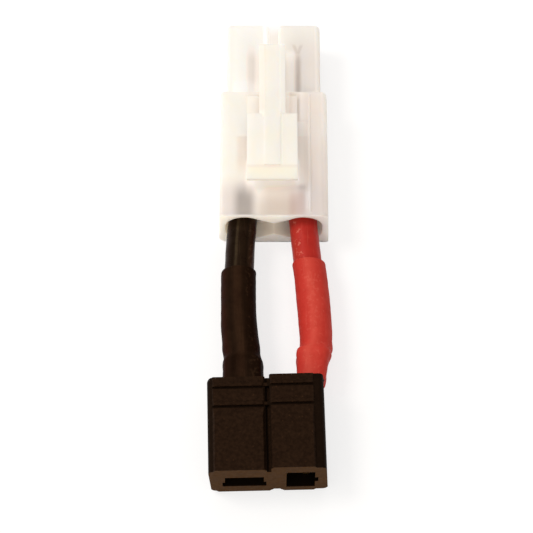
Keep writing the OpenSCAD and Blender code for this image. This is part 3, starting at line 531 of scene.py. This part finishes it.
def plated_metal(name, bright, dull, roughness, scratch_depth):
    """Plated or bare metal with drawn scratches along Y and slightly dull patches."""
    material, tree, shader, place = new_material(name, Metallic=1.0)
    slow = noise(tree, place, 700.0)
    lines = noise(tree, place, 9000.0, detail=2.0, stretch=(1, 12, 1))
    tree.links.new(mix_colour(tree, smooth_step(tree, slow, 0.35, 0.7), bright, dull),
                   shader.inputs["Base Color"])
    set_roughness(tree, shader, lines, roughness - 0.06, roughness + 0.12)
    bump(tree, shader, lines, scratch_depth)
    return material


# What shows through the nylon: contacts in the tubes, crimps, and the wires at the rear,
# and painted shade on the housing, each as tone, strength and the sizes of a plug_window
GREY_THROUGH = srgb(150, 136, 126)
BLACK_THROUGH = srgb(96, 92, 86)
RED_THROUGH = srgb(180, 138, 130)
OLIVE_SHADOW_AND_CRIMP = srgb(168, 156, 132)
WARM_PAINTED_SHADE = srgb(206, 196, 186)
COOL_PAINTED_SHADE = srgb(172, 168, 178)
BAR_THROUGH = srgb(140, 142, 146)
HOUSING_THROUGH_AND_SHADE = [
    # Painted shade, darker over the right side of the body
    (COOL_PAINTED_SHADE, 0.21, 2.0, 7.4, -1.0, 30.0, 3.2, 1.0, 9.0),
    (BAR_THROUGH, 0.32, -3.9, -2.75, 20.4, 28.0, 0.8, 0.3, 4.0),
    (BAR_THROUGH, 0.1, -3.1, -1.7, 20.4, 27.6, 1.2, 0.3, 3.0),
    (GREY_THROUGH, 0.36, 3.05, 3.95, 20.4, 27.2, 0.75, 0.3, 2.4),
    (GREY_THROUGH, 0.12, 2.9, 3.95, 20.4, 24.6, 0.8, 0.3, 5.0),
    # Painted shadow of the latch arm, right of it on the body
    (OLIVE_SHADOW_AND_CRIMP, 0.17, 1.6, 3.6, 15.4, 20.4, 0.9, 0.3, 0.3),
    (GREY_THROUGH, 0.18, -5.3, -2.2, 7.5, 12.95, 1.0, 3.5, 0.4),
    # Painted shade left of the arm, on the body
    (WARM_PAINTED_SHADE, 0.13, -4.0, -1.6, 13.0, 20.4, 0.6, 0.3, 0.3),
    # The right crimp seen through, with painted shade beside the paddle
    (OLIVE_SHADOW_AND_CRIMP, 0.18, 2.2, 4.85, 6.5, 12.95, 0.9, 3.5, 0.4),
    # Painted shade on the top near the rear, between the wires
    (WARM_PAINTED_SHADE, 0.52, -1.6, 2.6, 0.15, 4.6, 2.4, 0.3, 1.6),
    # Painted shade along the right side and towards the rear at both sides
    (COOL_PAINTED_SHADE, 0.1, 5.2, 9.0, 0.15, 11.0, 0.6, 0.3, 5.0),
    (COOL_PAINTED_SHADE, 0.3, -9.0, -3.0, 0.15, 5.0, 2.0, 0.3, 4.0),
    (COOL_PAINTED_SHADE, 0.14, 3.0, 9.0, 0.15, 5.0, 2.0, 0.3, 4.0),
    # Painted shade at the rear between the wire mouths
    (WARM_PAINTED_SHADE, 0.4, -2.4, 3.0, 0.1, 2.2, 1.6, 0.3, 3.4),
    (BLACK_THROUGH, 0.48, -5.5, -2.9, 0.15, 4.4, 1.7, 0.3, 3.4),
    (RED_THROUGH, 0.35, 2.2, 4.4, 0.15, 4.0, 1.2, 0.3, 2.4),
]
# On the lever: painted shade along the paddle's crease and over its sloping lip, and a grey
# band along the arm's left edge
LEVER_THROUGH_AND_SHADE = [
    (srgb(214, 194, 184), 0.2, -9.0, 9.0, 6.15, 6.6, 1.0, 0.4, 0.4),
    (srgb(250, 234, 200), 0.16, -9.0, 9.0, 4.0, 6.2, 1.0, 0.3, 0.3),
    (srgb(226, 220, 216), 0.4, -2.6, -1.3, 16.0, 30.0, 0.6, 1.0, 0.5),
]
# Painted glow, put out by the nylon where light would come through thin nylon: in the
# lever's arm, beside the lever, and along the sides and on the tubes of the housing, each
# as strength and the sizes of a plug_window
PAINTED_GLOW = (0.9, 0.88, 0.84, 1)
ARM_PAINTED_GLOW = [
    (0.15, 0.9, 2.2, 15.6, 30.0, 0.4, 0.5, 0.5),
    (0.07, 0.85, 1.25, 6.6, 15.6, 0.3, 0.3, 0.3),
]
HOUSING_PAINTED_GLOW = [
    (0.27, 1.7, 3.3, 20.4, 27.5, 0.8, 0.4, 2.0),
    (0.16, 1.2, 2.3, 15.6, 20.4, 0.5, 0.3, 0.3),
    (0.08, 1.7, 4.3, 15.6, 20.4, 0.8, 0.3, 0.3),
    (0.12, 6.9, 8.4, 13.0, 20.4, 0.5, 4.0, 0.3),
    (0.07, 7.1, 8.4, 0.5, 13.0, 0.4, 0.3, 4.0),
    (0.09, 4.5, 5.1, 1.0, 15.0, 0.4, 1.0, 1.0),
    (0.22, 3.2, 4.5, 5.0, 15.4, 0.8, 1.0, 0.6),
    (0.21, -4.0, 3.6, 3.9, 9.0, 0.8, 4.2, 1.0),
    (0.09, -6.0, -1.3, 20.4, 36.0, 1.2, 0.3, 1.0),
    (0.14, -6.0, -1.9, 20.4, 22.4, 1.2, 0.3, 2.6),
    (0.25, -1.5, 0.0, 27.0, 36.0, 0.5, 2.0, 1.0),
    (0.1, 6.1, 7.4, 20.4, 36.0, 0.4, 0.3, 1.0),
]
# The forked tip of the red circuit's contact
FORK = {"Middle": PLUG_X + 3.52 * MM, "Root": PLUG_REAR + 27.4 * MM,
        "Tip": PLUG_REAR + 29.2 * MM, "Spread": 0.62 * MM, "Thick": 0.42 * MM}
FORK_STRENGTH = 0.22
# The rear face and wire mouths, which get a painted glow for the light their thin walls
# let in, the share of that glow taken off at the foot as painted shade, and the painted
# glow from left to right
MOUTHS = {"Middle": PLUG_X, "Half width": 7.85 * MM, "Wall": 0.875 * MM, "Foot": 0.6 * MM,
          "Top": 7.7 * MM, "Front": PLUG_REAR + 3.2 * MM, "Front blur": 3 * MM}
LOW_SHADE = 0.7
REAR_PAINTED_GLOW = [(0.0, (0.26, 0.21, 0.14, 1)), (0.1, (0.3, 0.25, 0.18, 1)),
             (0.18, (0.27, 0.235, 0.18, 1)), (0.42, (0.26, 0.225, 0.17, 1)),
             (0.6, (0.16, 0.2, 0.165, 1)), (0.82, (0.14, 0.16, 0.125, 1)),
             (0.96, (0.08, 0.09, 0.085, 1))]

nylon = natural_nylon("natural_nylon", 2.2 * MM, HOUSING_THROUGH_AND_SHADE, HOUSING_PAINTED_GLOW, FORK, MOUTHS)
nylon_lever = natural_nylon("natural_nylon_lever", 1.0 * MM, LEVER_THROUGH_AND_SHADE, ARM_PAINTED_GLOW)
t_black = black_moulding("black_nylon", srgb(29, 17, 10), srgb(43, 28, 18),
                         roughness=0.62)
# The rounded edges take a lighter tone: wear, and a painted edge highlight
t_black_edge_wear_and_highlight = black_moulding("black_nylon_edge", srgb(52, 35, 22), srgb(66, 47, 32),
                              roughness=0.5)
WARM_SHEEN = (1.0, 0.78, 0.58, 1)

# Painted highlight and shade round each tube's section, as painted_light_round takes it
BLACK_WIRE_PAINTED_LIGHT = [
    (0.0, 0.9, 0.9), (0.25, 1.0, 0.5), (0.353, 1.0, 0.6), (0.386, 0.75, 0.9),
    (0.413, 0.6, 1), (0.438, 0.8, 1), (0.454, 2.5, 1.35), (0.468, 2.5, 1.25),
    (0.484, 1.15, 1.05), (0.552, 1, 1), (0.576, 0.8, 1), (0.603, 1.4, 1),
    (0.633, 1.9, 1), (0.68, 1.4, 0.4), (1.0, 0.9, 0.9)]
RED_WIRE_PAINTED_LIGHT = [
    (0.0, 0.9, 1), (0.25, 0.95, 1), (0.38, 1, 1.15), (0.46, 1.04, 0.92), (0.52, 0.98, 0.9),
    (0.62, 1, 0.75), (0.75, 0.95, 0.7), (1.0, 0.9, 1)]
BLACK_SLEEVE_PAINTED_LIGHT = [
    (0.0, 0.7, 0.9), (0.25, 1.2, 0.3), (0.345, 1.1, 0.6), (0.387, 0.87, 0.9),
    (0.421, 0.7, 1), (0.441, 0.85, 1), (0.47, 1.3, 1), (0.489, 1.45, 1), (0.517, 1.3, 1),
    (0.5355, 0.92, 1), (0.555, 0.68, 1), (0.62, 0.66, 1), (0.7, 0.8, 0.6), (1.0, 0.7, 0.9)]
RED_SLEEVE_PAINTED_LIGHT = [
    (0.0, 0.9, 1), (0.25, 0.82, 0.6), (0.318, 0.84, 0.62), (0.407, 0.88, 0.75),
    (0.478, 0.98, 1.2), (0.526, 0.95, 1), (0.587, 0.9, 0.8), (0.652, 0.83, 0.8),
    (0.75, 0.8, 0.7), (1.0, 0.9, 1)]
silicone_black = rubbed_rubber(
    "black_silicone", srgb(30, 19, 12), srgb(36, 24, 15), srgb(72, 54, 40), roughness=0.3,
    specular=0.06, sheen=WARM_SHEEN, mark_strength=0.3, grain_depth=0.01 * MM,
    painted_light=BLACK_WIRE_PAINTED_LIGHT, scuffs=(0.59, 0.68, 0.6))
silicone_red = rubbed_rubber(
    "red_silicone", srgb(188, 48, 38), srgb(178, 42, 34), srgb(216, 112, 96),
    roughness=0.42, specular=0.15, sheen=WHITE, mark_strength=0.3,
    grain_depth=0.01 * MM, painted_light=RED_WIRE_PAINTED_LIGHT, scuffs=(0.36, 0.45, 0.7))
sleeve_black = rubbed_rubber(
    "black_sleeve", srgb(34, 20, 12), srgb(42, 27, 17), srgb(62, 44, 30), roughness=0.5,
    specular=0.02, sheen=WARM_SHEEN, mark_strength=0.3, grain_depth=0.03 * MM,
    painted_light=BLACK_SLEEVE_PAINTED_LIGHT, scuffs=(0.57, 0.65, 0.4))
sleeve_red = rubbed_rubber(
    "red_sleeve", srgb(212, 70, 57), srgb(204, 63, 51), srgb(224, 112, 94), roughness=0.6,
    specular=0.12, sheen=WHITE, mark_strength=0.2, grain_depth=0.03 * MM,
    painted_light=RED_SLEEVE_PAINTED_LIGHT, scuffs=(0.4, 0.6, 0.15))
tinned = plated_metal("tinned_brass", srgb(214, 205, 186), srgb(176, 164, 142),
                      roughness=0.32, scratch_depth=0.004 * MM)
gilt = plated_metal("gilt_brass", srgb(232, 190, 108), srgb(206, 160, 84),
                    roughness=0.24, scratch_depth=0.003 * MM)
copper = plated_metal("copper_strands", srgb(214, 138, 96), srgb(176, 104, 70),
                      roughness=0.3, scratch_depth=0.003 * MM)
solder_metal = plated_metal("solder", srgb(190, 190, 192), srgb(150, 150, 152),
                            roughness=0.38, scratch_depth=0.006 * MM)


# ---- Meshes


def coordinates(mesh):
    """All vertex places of a mesh, as rows of x, y, z."""
    flat = np.empty(3 * len(mesh.vertices))
    mesh.vertices.foreach_get("co", flat)
    return flat.reshape(-1, 3)


def finish_piece(name, mesh, body, materials, replaced):
    """Links a finished mesh as a piece that rides on a body and stands for CAD nodes."""
    piece = bpy.data.objects.new(name, mesh)
    bpy.context.collection.objects.link(piece)
    for material in materials:
        mesh.materials.append(material)
    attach(piece, body)
    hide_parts(*replaced)
    return piece


WELD_MM = 0.0008
FLAT_ANGLE = math.radians(0.6)
SHARP_ANGLE = math.radians(26.0)


def rounded_copy(node, name, body, radius, materials, segments=2):
    """Merged copy of a CAD node whose edges, where its faces meet at more than
    SHARP_ANGLE, are rounded to the given radius. The rounding takes the last material.
    The work is done in millimetres."""
    shape = bmesh.new()
    shape.from_mesh(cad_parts[node].data)
    bmesh.ops.scale(shape, vec=(1 / MM,) * 3, verts=shape.verts)
    bmesh.ops.remove_doubles(shape, verts=shape.verts, dist=WELD_MM)
    bmesh.ops.dissolve_limit(shape, angle_limit=FLAT_ANGLE, verts=shape.verts,
                             edges=shape.edges)
    sharp = [edge for edge in shape.edges
             if len(edge.link_faces) == 2 and edge.calc_face_angle() > SHARP_ANGLE]
    bmesh.ops.bevel(shape, geom=sharp, offset=radius / MM, segments=segments, profile=0.5,
                    affect="EDGES", clamp_overlap=True, loop_slide=True,
                    material=len(materials) - 1)
    bmesh.ops.scale(shape, vec=(MM,) * 3, verts=shape.verts)
    for face in shape.faces:
        face.smooth = True
    mesh = bpy.data.meshes.new(name)
    shape.to_mesh(mesh)
    shape.free()
    piece = finish_piece(name, mesh, body, materials, [node])
    piece.modifiers.new("even_shading", "WEIGHTED_NORMAL").keep_sharp = True
    return piece


def grid_faces(rows, columns, closed_rows):
    """Quads of a grid whose columns close on themselves, and whose rows do if asked."""
    across = np.arange(columns)
    along = np.arange(rows if closed_rows else rows - 1)
    i, j = np.meshgrid(along, across, indexing="ij")
    k, m = (i + 1) % rows, (j + 1) % columns
    return np.stack([i * columns + j, i * columns + m, k * columns + m, k * columns + j],
                    axis=-1).reshape(-1, 4)


def surface_mesh(name, grid, closed_rows=False):
    """Mesh of a grid of points, rows by columns by 3, its columns closed. The ends of an
    open one are shut by a face. Faces are turned outwards by the sign of the volume."""
    rows, columns = grid.shape[:2]
    points = grid.reshape(-1, 3)
    quads = grid_faces(rows, columns, closed_rows)
    a, b, c, d = (points[quads[:, n]] for n in range(4))
    volume = np.einsum("ij,ij->i", a, np.cross(b, c) + np.cross(c, d)).sum()
    faces = quads.tolist()
    if not closed_rows:
        faces.append(list(range(columns - 1, -1, -1)))
        faces.append([(rows - 1) * columns + n for n in range(columns)])
    if volume < 0:
        faces = [face[::-1] for face in faces]
    mesh = bpy.data.meshes.new(name)
    mesh.from_pydata(points.tolist(), [], faces)
    mesh.validate()
    mesh.shade_smooth()
    return mesh


# Points round a tube here, and sides of the rings of a swept CAD node
AROUND = 64
RING_SIDES = 20
ANGLES = np.arange(AROUND) * TURN / AROUND
ANGLES_FINE = np.arange(3 * AROUND) * TURN / (3 * AROUND)


def swept_skin(node):
    """What a swept CAD node says of itself, ring by ring: y, the centre as (x, z), and the
    outer radius at every angle of its rings."""
    points = coordinates(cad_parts[node].data)
    y, ring = np.unique(np.round(points[:, 1], 6), return_inverse=True)
    low = np.full((len(y), 3), np.inf)
    high = -low
    np.minimum.at(low, ring, points)
    np.maximum.at(high, ring, points)
    centre = (low + high)[:, (0, 2)] / 2
    arm = points[:, (0, 2)] - centre[ring]
    turn = np.arctan2(arm[:, 1], arm[:, 0]) / TURN
    step = np.round(turn * RING_SIDES - 0.5).astype(int) % RING_SIDES
    radius = np.zeros((len(y), RING_SIDES))
    np.maximum.at(radius, (ring, step), np.hypot(arm[:, 0], arm[:, 1]))
    return y, centre, radius


def cubic_path(knots, values, places):
    """Values at the given places on a smooth cubic through the knots, whose slope at each
    knot is the slope between its neighbours."""
    slope = np.gradient(values, knots, axis=0)
    i = np.clip(np.searchsorted(knots, places) - 1, 0, len(knots) - 2)
    gap = knots[i + 1] - knots[i]
    t = (places - knots[i]) / gap
    if values.ndim > 1:
        t, gap = t[:, None], gap[:, None]
    return ((2 * t ** 3 - 3 * t ** 2 + 1) * values[i]
            + (t ** 3 - 2 * t ** 2 + t) * gap * slope[i]
            + (3 * t ** 2 - 2 * t ** 3) * values[i + 1]
            + (t ** 3 - t ** 2) * gap * slope[i + 1])


def finer_angles(radius):
    """The same closed outlines with AROUND angles, by keeping their waves: the spectrum
    of each ring is padded with zeros, and turned back by half a step to start at angle 0."""
    waves = np.fft.rfft(radius, axis=1)
    waves *= np.exp(-0.5j * TURN / RING_SIDES * np.arange(waves.shape[1]))
    waves[:, -1] = waves[:, -1].real
    padded = np.zeros((len(radius), AROUND // 2 + 1), complex)
    padded[:, :waves.shape[1]] = waves
    return np.fft.irfft(padded, AROUND, axis=1) * AROUND / RING_SIDES


def ripple(y, angle, waves, seed):
    """A smooth uneven surface between -1 and 1: a sum of waves in y and round the tube,
    each with its own phase from the seed."""
    draw = np.random.default_rng(seed)
    total = np.zeros(np.broadcast(y, angle).shape)
    for length, turns in waves:
        total += np.sin(y * TURN / length + turns * angle + draw.uniform(0, TURN))
    return total / len(waves)


def tube_points(y, centre, radius, angles=ANGLES):
    """Points of a tube: centre(y) plus radius(y, angle) in the plane of X and Z."""
    x = centre[:, 0:1] + radius * np.cos(angles)
    z = centre[:, 1:2] + radius * np.sin(angles)
    return np.stack([x, np.broadcast_to(y[:, None], x.shape), z], axis=-1)


# Small departures of the soft pieces from their CAD solids, as (place, amount) in mm, the
# place counted from the slotted connector's rear face towards the plug
RIGHT, LEFT = 0.0, math.pi
EXTRA_BOW = {
    "black": [(-6, 0), (0, 0), (7, 0), (10.8, -0.1), (13.4, -0.14), (15.4, -0.08),
              (17.1, 0.02), (18, 0.14), (19.5, 0.26), (22, 0.3), (25, 0.26), (28, 0.1),
              (31, 0), (40, 0)],
    "red": [(-6, 0), (40, 0)],
}
BLACK_FULLER = [
    (RIGHT, [(-6, 0.22), (0, 0.22), (3.5, 0.22), (4.1, 0.25), (4.7, 0.16), (5.9, 0.12),
             (7.2, 0.03), (9, 0), (10.2, -0.03), (12, 0), (17, 0), (19, 0)]),
    (LEFT, [(-6, 0.06), (0, 0.06), (3.5, -0.04), (4.1, 0.03), (4.7, 0.15), (7, 0.18),
            (9, 0.17), (10.4, 0.08), (12, 0), (17, 0), (19, 0)]),
]
RED_FULLER = [
    (RIGHT, [(-6, -0.6), (0, -0.6), (0.4, -0.42), (0.8, -0.2), (1.4, 0), (2.3, 0.11),
             (2.9, 0.27), (3.5, 0.41), (4.1, 0.72), (4.7, 0.98), (5.3, 0.56), (5.9, 0.19),
             (6.5, 0.03), (7.5, 0), (11, 0), (13.4, 0.07), (16, 0.1), (18.4, 0.12),
             (19.6, 0.18)]),
    (LEFT, [(-6, 0), (0, 0), (1, -0.12), (2.3, -0.19), (3.5, -0.23), (4.1, -0.21),
            (4.7, -0.25), (5.3, -0.21), (5.9, -0.23), (6.5, -0.19), (7.2, -0.12), (7.8, -0.07),
            (9, 0), (13, 0), (15, -0.05), (16.5, -0.1), (19.6, -0.08)]),
]


def eased(knots, y):
    """Values on a smooth cubic through (place, value) knots, whose places are counted in
    mm from the slotted connector's rear face and whose values are in mm."""
    places, values = np.array(knots).T
    ahead = np.clip((y - T_ORIGIN[1]) / MM, places[0], places[-1])
    return cubic_path(places, values, ahead) * MM


def laid_route(side, knots, centre, y):
    """The CAD node's route at the places y, moved across by the wire's small extra bow."""
    middle = cubic_path(knots, centre, y)
    middle[:, 0] += eased(EXTRA_BOW[side], y)
    return middle


def walled_tube(name, y, centre, outer, inner, edge):
    """Closed mesh of a tube wall: out along the outer skin and back along the inner one,
    with both ends rounded over the length edge. The attribute around points from the
    tube's middle to each of its vertices."""
    wall = outer - inner
    from_end = np.minimum(y - y[0], y[-1] - y)[:, None] / edge
    round_off = 1 - np.sqrt(np.clip(1 - (1 - np.clip(from_end, 0, 1)) ** 2, 0, 1))
    inset = 0.45 * wall * round_off
    outside = tube_points(y, centre, outer - inset)
    inside = tube_points(y, centre, inner + inset)[::-1]
    mesh = surface_mesh(name, np.concatenate([outside, inside]), closed_rows=True)
    arm = np.stack([np.cos(ANGLES), np.zeros(AROUND), np.sin(ANGLES)], axis=-1)
    around = mesh.attributes.new("around", "FLOAT_VECTOR", "POINT")
    around.data.foreach_set("vector", np.tile(arm, (2 * len(y), 1)).ravel())
    return mesh


def even_places(start, end, step, edge):
    """Places from start to end, closer together over the length edge at both ends."""
    ends = edge * (1 - np.cos(np.linspace(0, math.pi / 2, 7)))
    middle = np.linspace(start + edge, end - edge, max(int((end - start) / step), 4))[1:-1]
    return np.concatenate([start + ends, middle, (end - ends)[::-1]])


# Waves of the soft skins, as (length, turns round the tube)
INSULATION_WAVES = [(9 * MM, 1), (5 * MM, 2), (3.1 * MM, 0), (2.2 * MM, 3)]
SLEEVE_WAVES = [(7 * MM, 1), (4.3 * MM, 2), (2.9 * MM, -1), (1.9 * MM, 3), (1.3 * MM, -2)]
INSULATION_RIPPLE, SLEEVE_RIPPLE = 0.03 * MM, 0.025 * MM
INSULATION_BORE, SLEEVE_WALL = 1.11 * MM, 0.25 * MM
INSULATION_EDGE, SLEEVE_EDGE = 0.15 * MM, 0.3 * MM


def make_insulation(side, material, swell):
    """Silicone insulation: the CAD node's own route with a round section, which swell
    makes a little fuller, a slow unevenness of a few hundredths of a millimetre, and cut
    ends."""
    node = f"insulation_{side}"
    knots, centre, radius = swept_skin(node)
    y = even_places(knots[0], knots[-1], step=0.25 * MM, edge=INSULATION_EDGE)
    middle = laid_route(side, knots, centre, y)
    outer = np.full((len(y), AROUND), radius.max() + swell)
    uneven = ripple(y[:, None], ANGLES[None, :], INSULATION_WAVES, seed=len(side))
    outer += INSULATION_RIPPLE * uneven
    inner = np.full_like(outer, INSULATION_BORE)
    mesh = walled_tube(node, y, middle, outer, inner, INSULATION_EDGE)
    finish_piece(f"wire_{side}", mesh, "adapter", [material], [node])


def make_sleeve(side, material, drawn_back, fuller):
    """Shrink sleeve: the CAD node's own outline, drawn over the tab with soft steps, its
    wall rounded at the ends and its skin wavy where it has shrunk. Shrinking has drawn
    its end by the plug back by the length drawn_back. fuller gives, for the side at each
    turn, how much more its radius is along the way."""
    node = f"shrink_sleeve_{side}"
    knots, centre, radius = swept_skin(node)
    y = even_places(knots[0], knots[-1] - drawn_back, step=0.18 * MM, edge=SLEEVE_EDGE)
    middle = laid_route(side, knots, centre, y)
    outer = cubic_path(knots, finer_angles(radius), y)
    uneven = ripple(y[:, None], ANGLES[None, :], SLEEVE_WAVES, seed=len(side) + 7)
    outer += SLEEVE_RIPPLE * uneven
    for turn, profile in fuller:
        lobe = np.clip(np.cos(ANGLES - turn), 0, 1) ** 2
        outer += eased(profile, y)[:, None] * lobe[None, :]
    mesh = walled_tube(node, y, middle, outer, outer - SLEEVE_WALL, SLEEVE_EDGE)
    finish_piece(f"sleeve_{side}", mesh, "adapter", [material], [node])


def make_strands(side, material):
    """Bundle of copper strands: the CAD node's route with a lobed section, one lobe for
    each outer strand, which turns as it runs along Y as a twisted bundle does."""
    node = f"conductor_{side}"
    knots, centre, radius = swept_skin(node)
    y = np.linspace(knots[0], knots[-1], 150)
    lobes, lay = 16, 14 * MM
    lobe = np.abs(np.cos(lobes / 2 * (ANGLES_FINE[None, :] - y[:, None] * TURN / lay)))
    outer = radius.max() * (0.93 + 0.07 * lobe)
    middle = laid_route(side, knots, centre, y)
    mesh = surface_mesh(node, tube_points(y, middle, outer, ANGLES_FINE))
    finish_piece(f"strands_{side}", mesh, "adapter", [material], [node])


make_insulation("black", silicone_black, swell=0.06 * MM)
make_insulation("red", silicone_red, swell=0.0)
make_sleeve("black", sleeve_black, drawn_back=0.55 * MM, fuller=BLACK_FULLER)
make_sleeve("red", sleeve_red, drawn_back=0.7 * MM, fuller=RED_FULLER)

rounded_copy("plug_housing", "plug_shell", "adapter", 0.14 * MM, [nylon],
             segments=3)
rounded_copy("latch_lever", "latch", "latch", 0.13 * MM, [nylon_lever],
             segments=3)
rounded_copy("t_housing", "t_shell", "adapter", 0.09 * MM, [t_black, t_black_edge_wear_and_highlight])
for side in ("black", "red"):
    rounded_copy(f"socket_contact_{side}", f"socket_{side}", "adapter", 0.05 * MM, [tinned])
    rounded_copy(f"blade_contact_{side}", f"blade_{side}", "adapter", 0.08 * MM, [gilt])
    rounded_copy(f"leaf_spring_{side}", f"spring_{side}", "adapter", 0.04 * MM, [gilt])
    rounded_copy(f"solder_joint_{side}", f"solder_{side}", "adapter", 0.12 * MM,
                 [solder_metal])
    make_strands(side, copper)


# ---- Table, lamp and surroundings

# The table's paper, how pale it is seen, and the share of plain white in what is seen
PAPER_TONES = ((0.88, 0.865, 0.84, 1), (0.92, 0.905, 0.885, 1))
SEEN_PAPER = (1.23, 1.24, 1.25, 1)
WHITE_SHARE = 0.72
# A painted warm glow on the table between the plug's tubes, for the nylon's light, and its
# plug_window
GAP_PAINTED_LIGHT = (0.98, 0.915, 0.84, 1)
TUBE_GAP = (-1.4, 1.4, 20.0, 36.2, 1.2, 1.0, 2.8)
# The room near the horizon and overhead: its light, what glossy skins mirror of it, and
# the share of both that comes from the right
ROOM_LIGHT = ((0.96, 0.91, 0.86, 1), (0.78, 0.735, 0.69, 1))
ROOM_MIRRORED = ((0.86, 0.76, 0.65, 1), (0.32, 0.28, 0.24, 1))
RIGHT_SHARE = (0.5, 0.5, 0.5, 1)


def make_table():
    """A pale table. Lamps meet its plain colour, and the camera sees it paler and mixed
    with white, so that it is white and keeps the object's soft shadow. Between the
    plug's tubes it has a painted warm glow, for the nylon's light."""
    half = 0.9
    mesh = bpy.data.meshes.new("table")
    mesh.from_pydata([(-half, -half, 0), (half, -half, 0), (half, half, 0), (-half, half, 0)],
                     [], [(0, 1, 2, 3)])
    table = bpy.data.objects.new("table", mesh)
    bpy.context.collection.objects.link(table)
    material = bpy.data.materials.new("pale_table")
    material.use_nodes = True
    tree = material.node_tree
    tree.nodes.clear()
    place = tree.nodes.new("ShaderNodeTexCoord").outputs["Object"]
    paper = mix_colour(tree, noise(tree, place, 60.0), *PAPER_TONES)
    # Painted warm glow between the tubes
    gap = plug_window(tree, place, TUBE_GAP)
    glowing = mix_colour(tree, gap, WHITE, GAP_PAINTED_LIGHT)
    white = add_node(tree, "ShaderNodeEmission", {"Color": glowing, "Strength": 1.0})
    path = tree.nodes.new("ShaderNodeLightPath")
    seen = math_node(tree, "MAXIMUM", path.outputs["Is Camera Ray"],
                     math_node(tree, "MAXIMUM", path.outputs["Is Glossy Ray"],
                               path.outputs["Is Transmission Ray"]))
    paler = mix_colour(tree, gap, SEEN_PAPER, GAP_PAINTED_LIGHT)
    paler = mix_colour(tree, seen, paper, paler)
    shaded = add_node(tree, "ShaderNodeBsdfDiffuse", {"Color": paler})
    share = product(tree, seen, WHITE_SHARE)
    mixed = add_node(tree, "ShaderNodeMixShader", {0: share, 1: shaded.outputs[0],
                                                   2: white.outputs[0]})
    output = add_node(tree, "ShaderNodeOutputMaterial")
    tree.links.new(mixed.outputs[0], output.inputs["Surface"])
    mesh.materials.append(material)


def make_world():
    """Soft room light, brighter towards the horizon than overhead and dimmer from the
    right, dimmer still where glossy skins mirror it, and plain white where the camera
    sees it, past the table or through a piece."""
    world = bpy.data.worlds.new("room")
    bpy.context.scene.world = world
    world.use_nodes = True
    tree = world.node_tree
    tree.nodes.clear()
    direction = add_node(tree, "ShaderNodeSeparateXYZ", {
        0: tree.nodes.new("ShaderNodeTexCoord").outputs["Generated"]})
    upward = direction.outputs["Z"]
    rightward = smooth_step(tree, direction.outputs["X"], -0.1, 1.0)
    path = tree.nodes.new("ShaderNodeLightPath")
    lighting = mix_colour(tree, smooth_step(tree, upward, 0.1, 0.8), *ROOM_LIGHT)
    mirrored = mix_colour(tree, smooth_step(tree, upward, 0.1, 0.6), *ROOM_MIRRORED)
    room = mix_colour(tree, path.outputs["Is Glossy Ray"], lighting, mirrored)
    room = mix_colour(tree, rightward, room, RIGHT_SHARE, "MULTIPLY")
    through = math_node(tree, "MAXIMUM", path.outputs["Is Camera Ray"],
                        path.outputs["Is Transmission Ray"])
    colour = mix_colour(tree, through, room, WHITE)
    back = add_node(tree, "ShaderNodeBackground", {"Color": colour, "Strength": 1.0})
    output = add_node(tree, "ShaderNodeOutputWorld")
    tree.links.new(back.outputs[0], output.inputs["Surface"])


def make_lamp(name, towards, distance, size, strength, colour):
    """A square lamp that shines on the object's middle from the direction towards, with
    the given light on a surface that faces it."""
    data = bpy.data.lights.new(name, "AREA")
    data.shape = "SQUARE"
    data.size = size
    data.energy = strength * math.pi * distance ** 2
    data.color = colour
    lamp = bpy.data.objects.new(name, data)
    bpy.context.collection.objects.link(lamp)
    direction = np.array(towards) / np.linalg.norm(towards)
    lamp.location = VIEW_TARGET + distance * direction
    lamp.rotation_mode = "QUATERNION"
    lamp.rotation_quaternion = Vector(direction).to_track_quat("Z", "Y")


make_table()
make_world()
make_lamp("key_lamp", towards=(-0.52, 0.12, 0.846), distance=0.6, size=0.18, strength=1.1,
          colour=(1.0, 0.95, 0.89))

bpy.context.scene.view_settings.view_transform = "Standard"
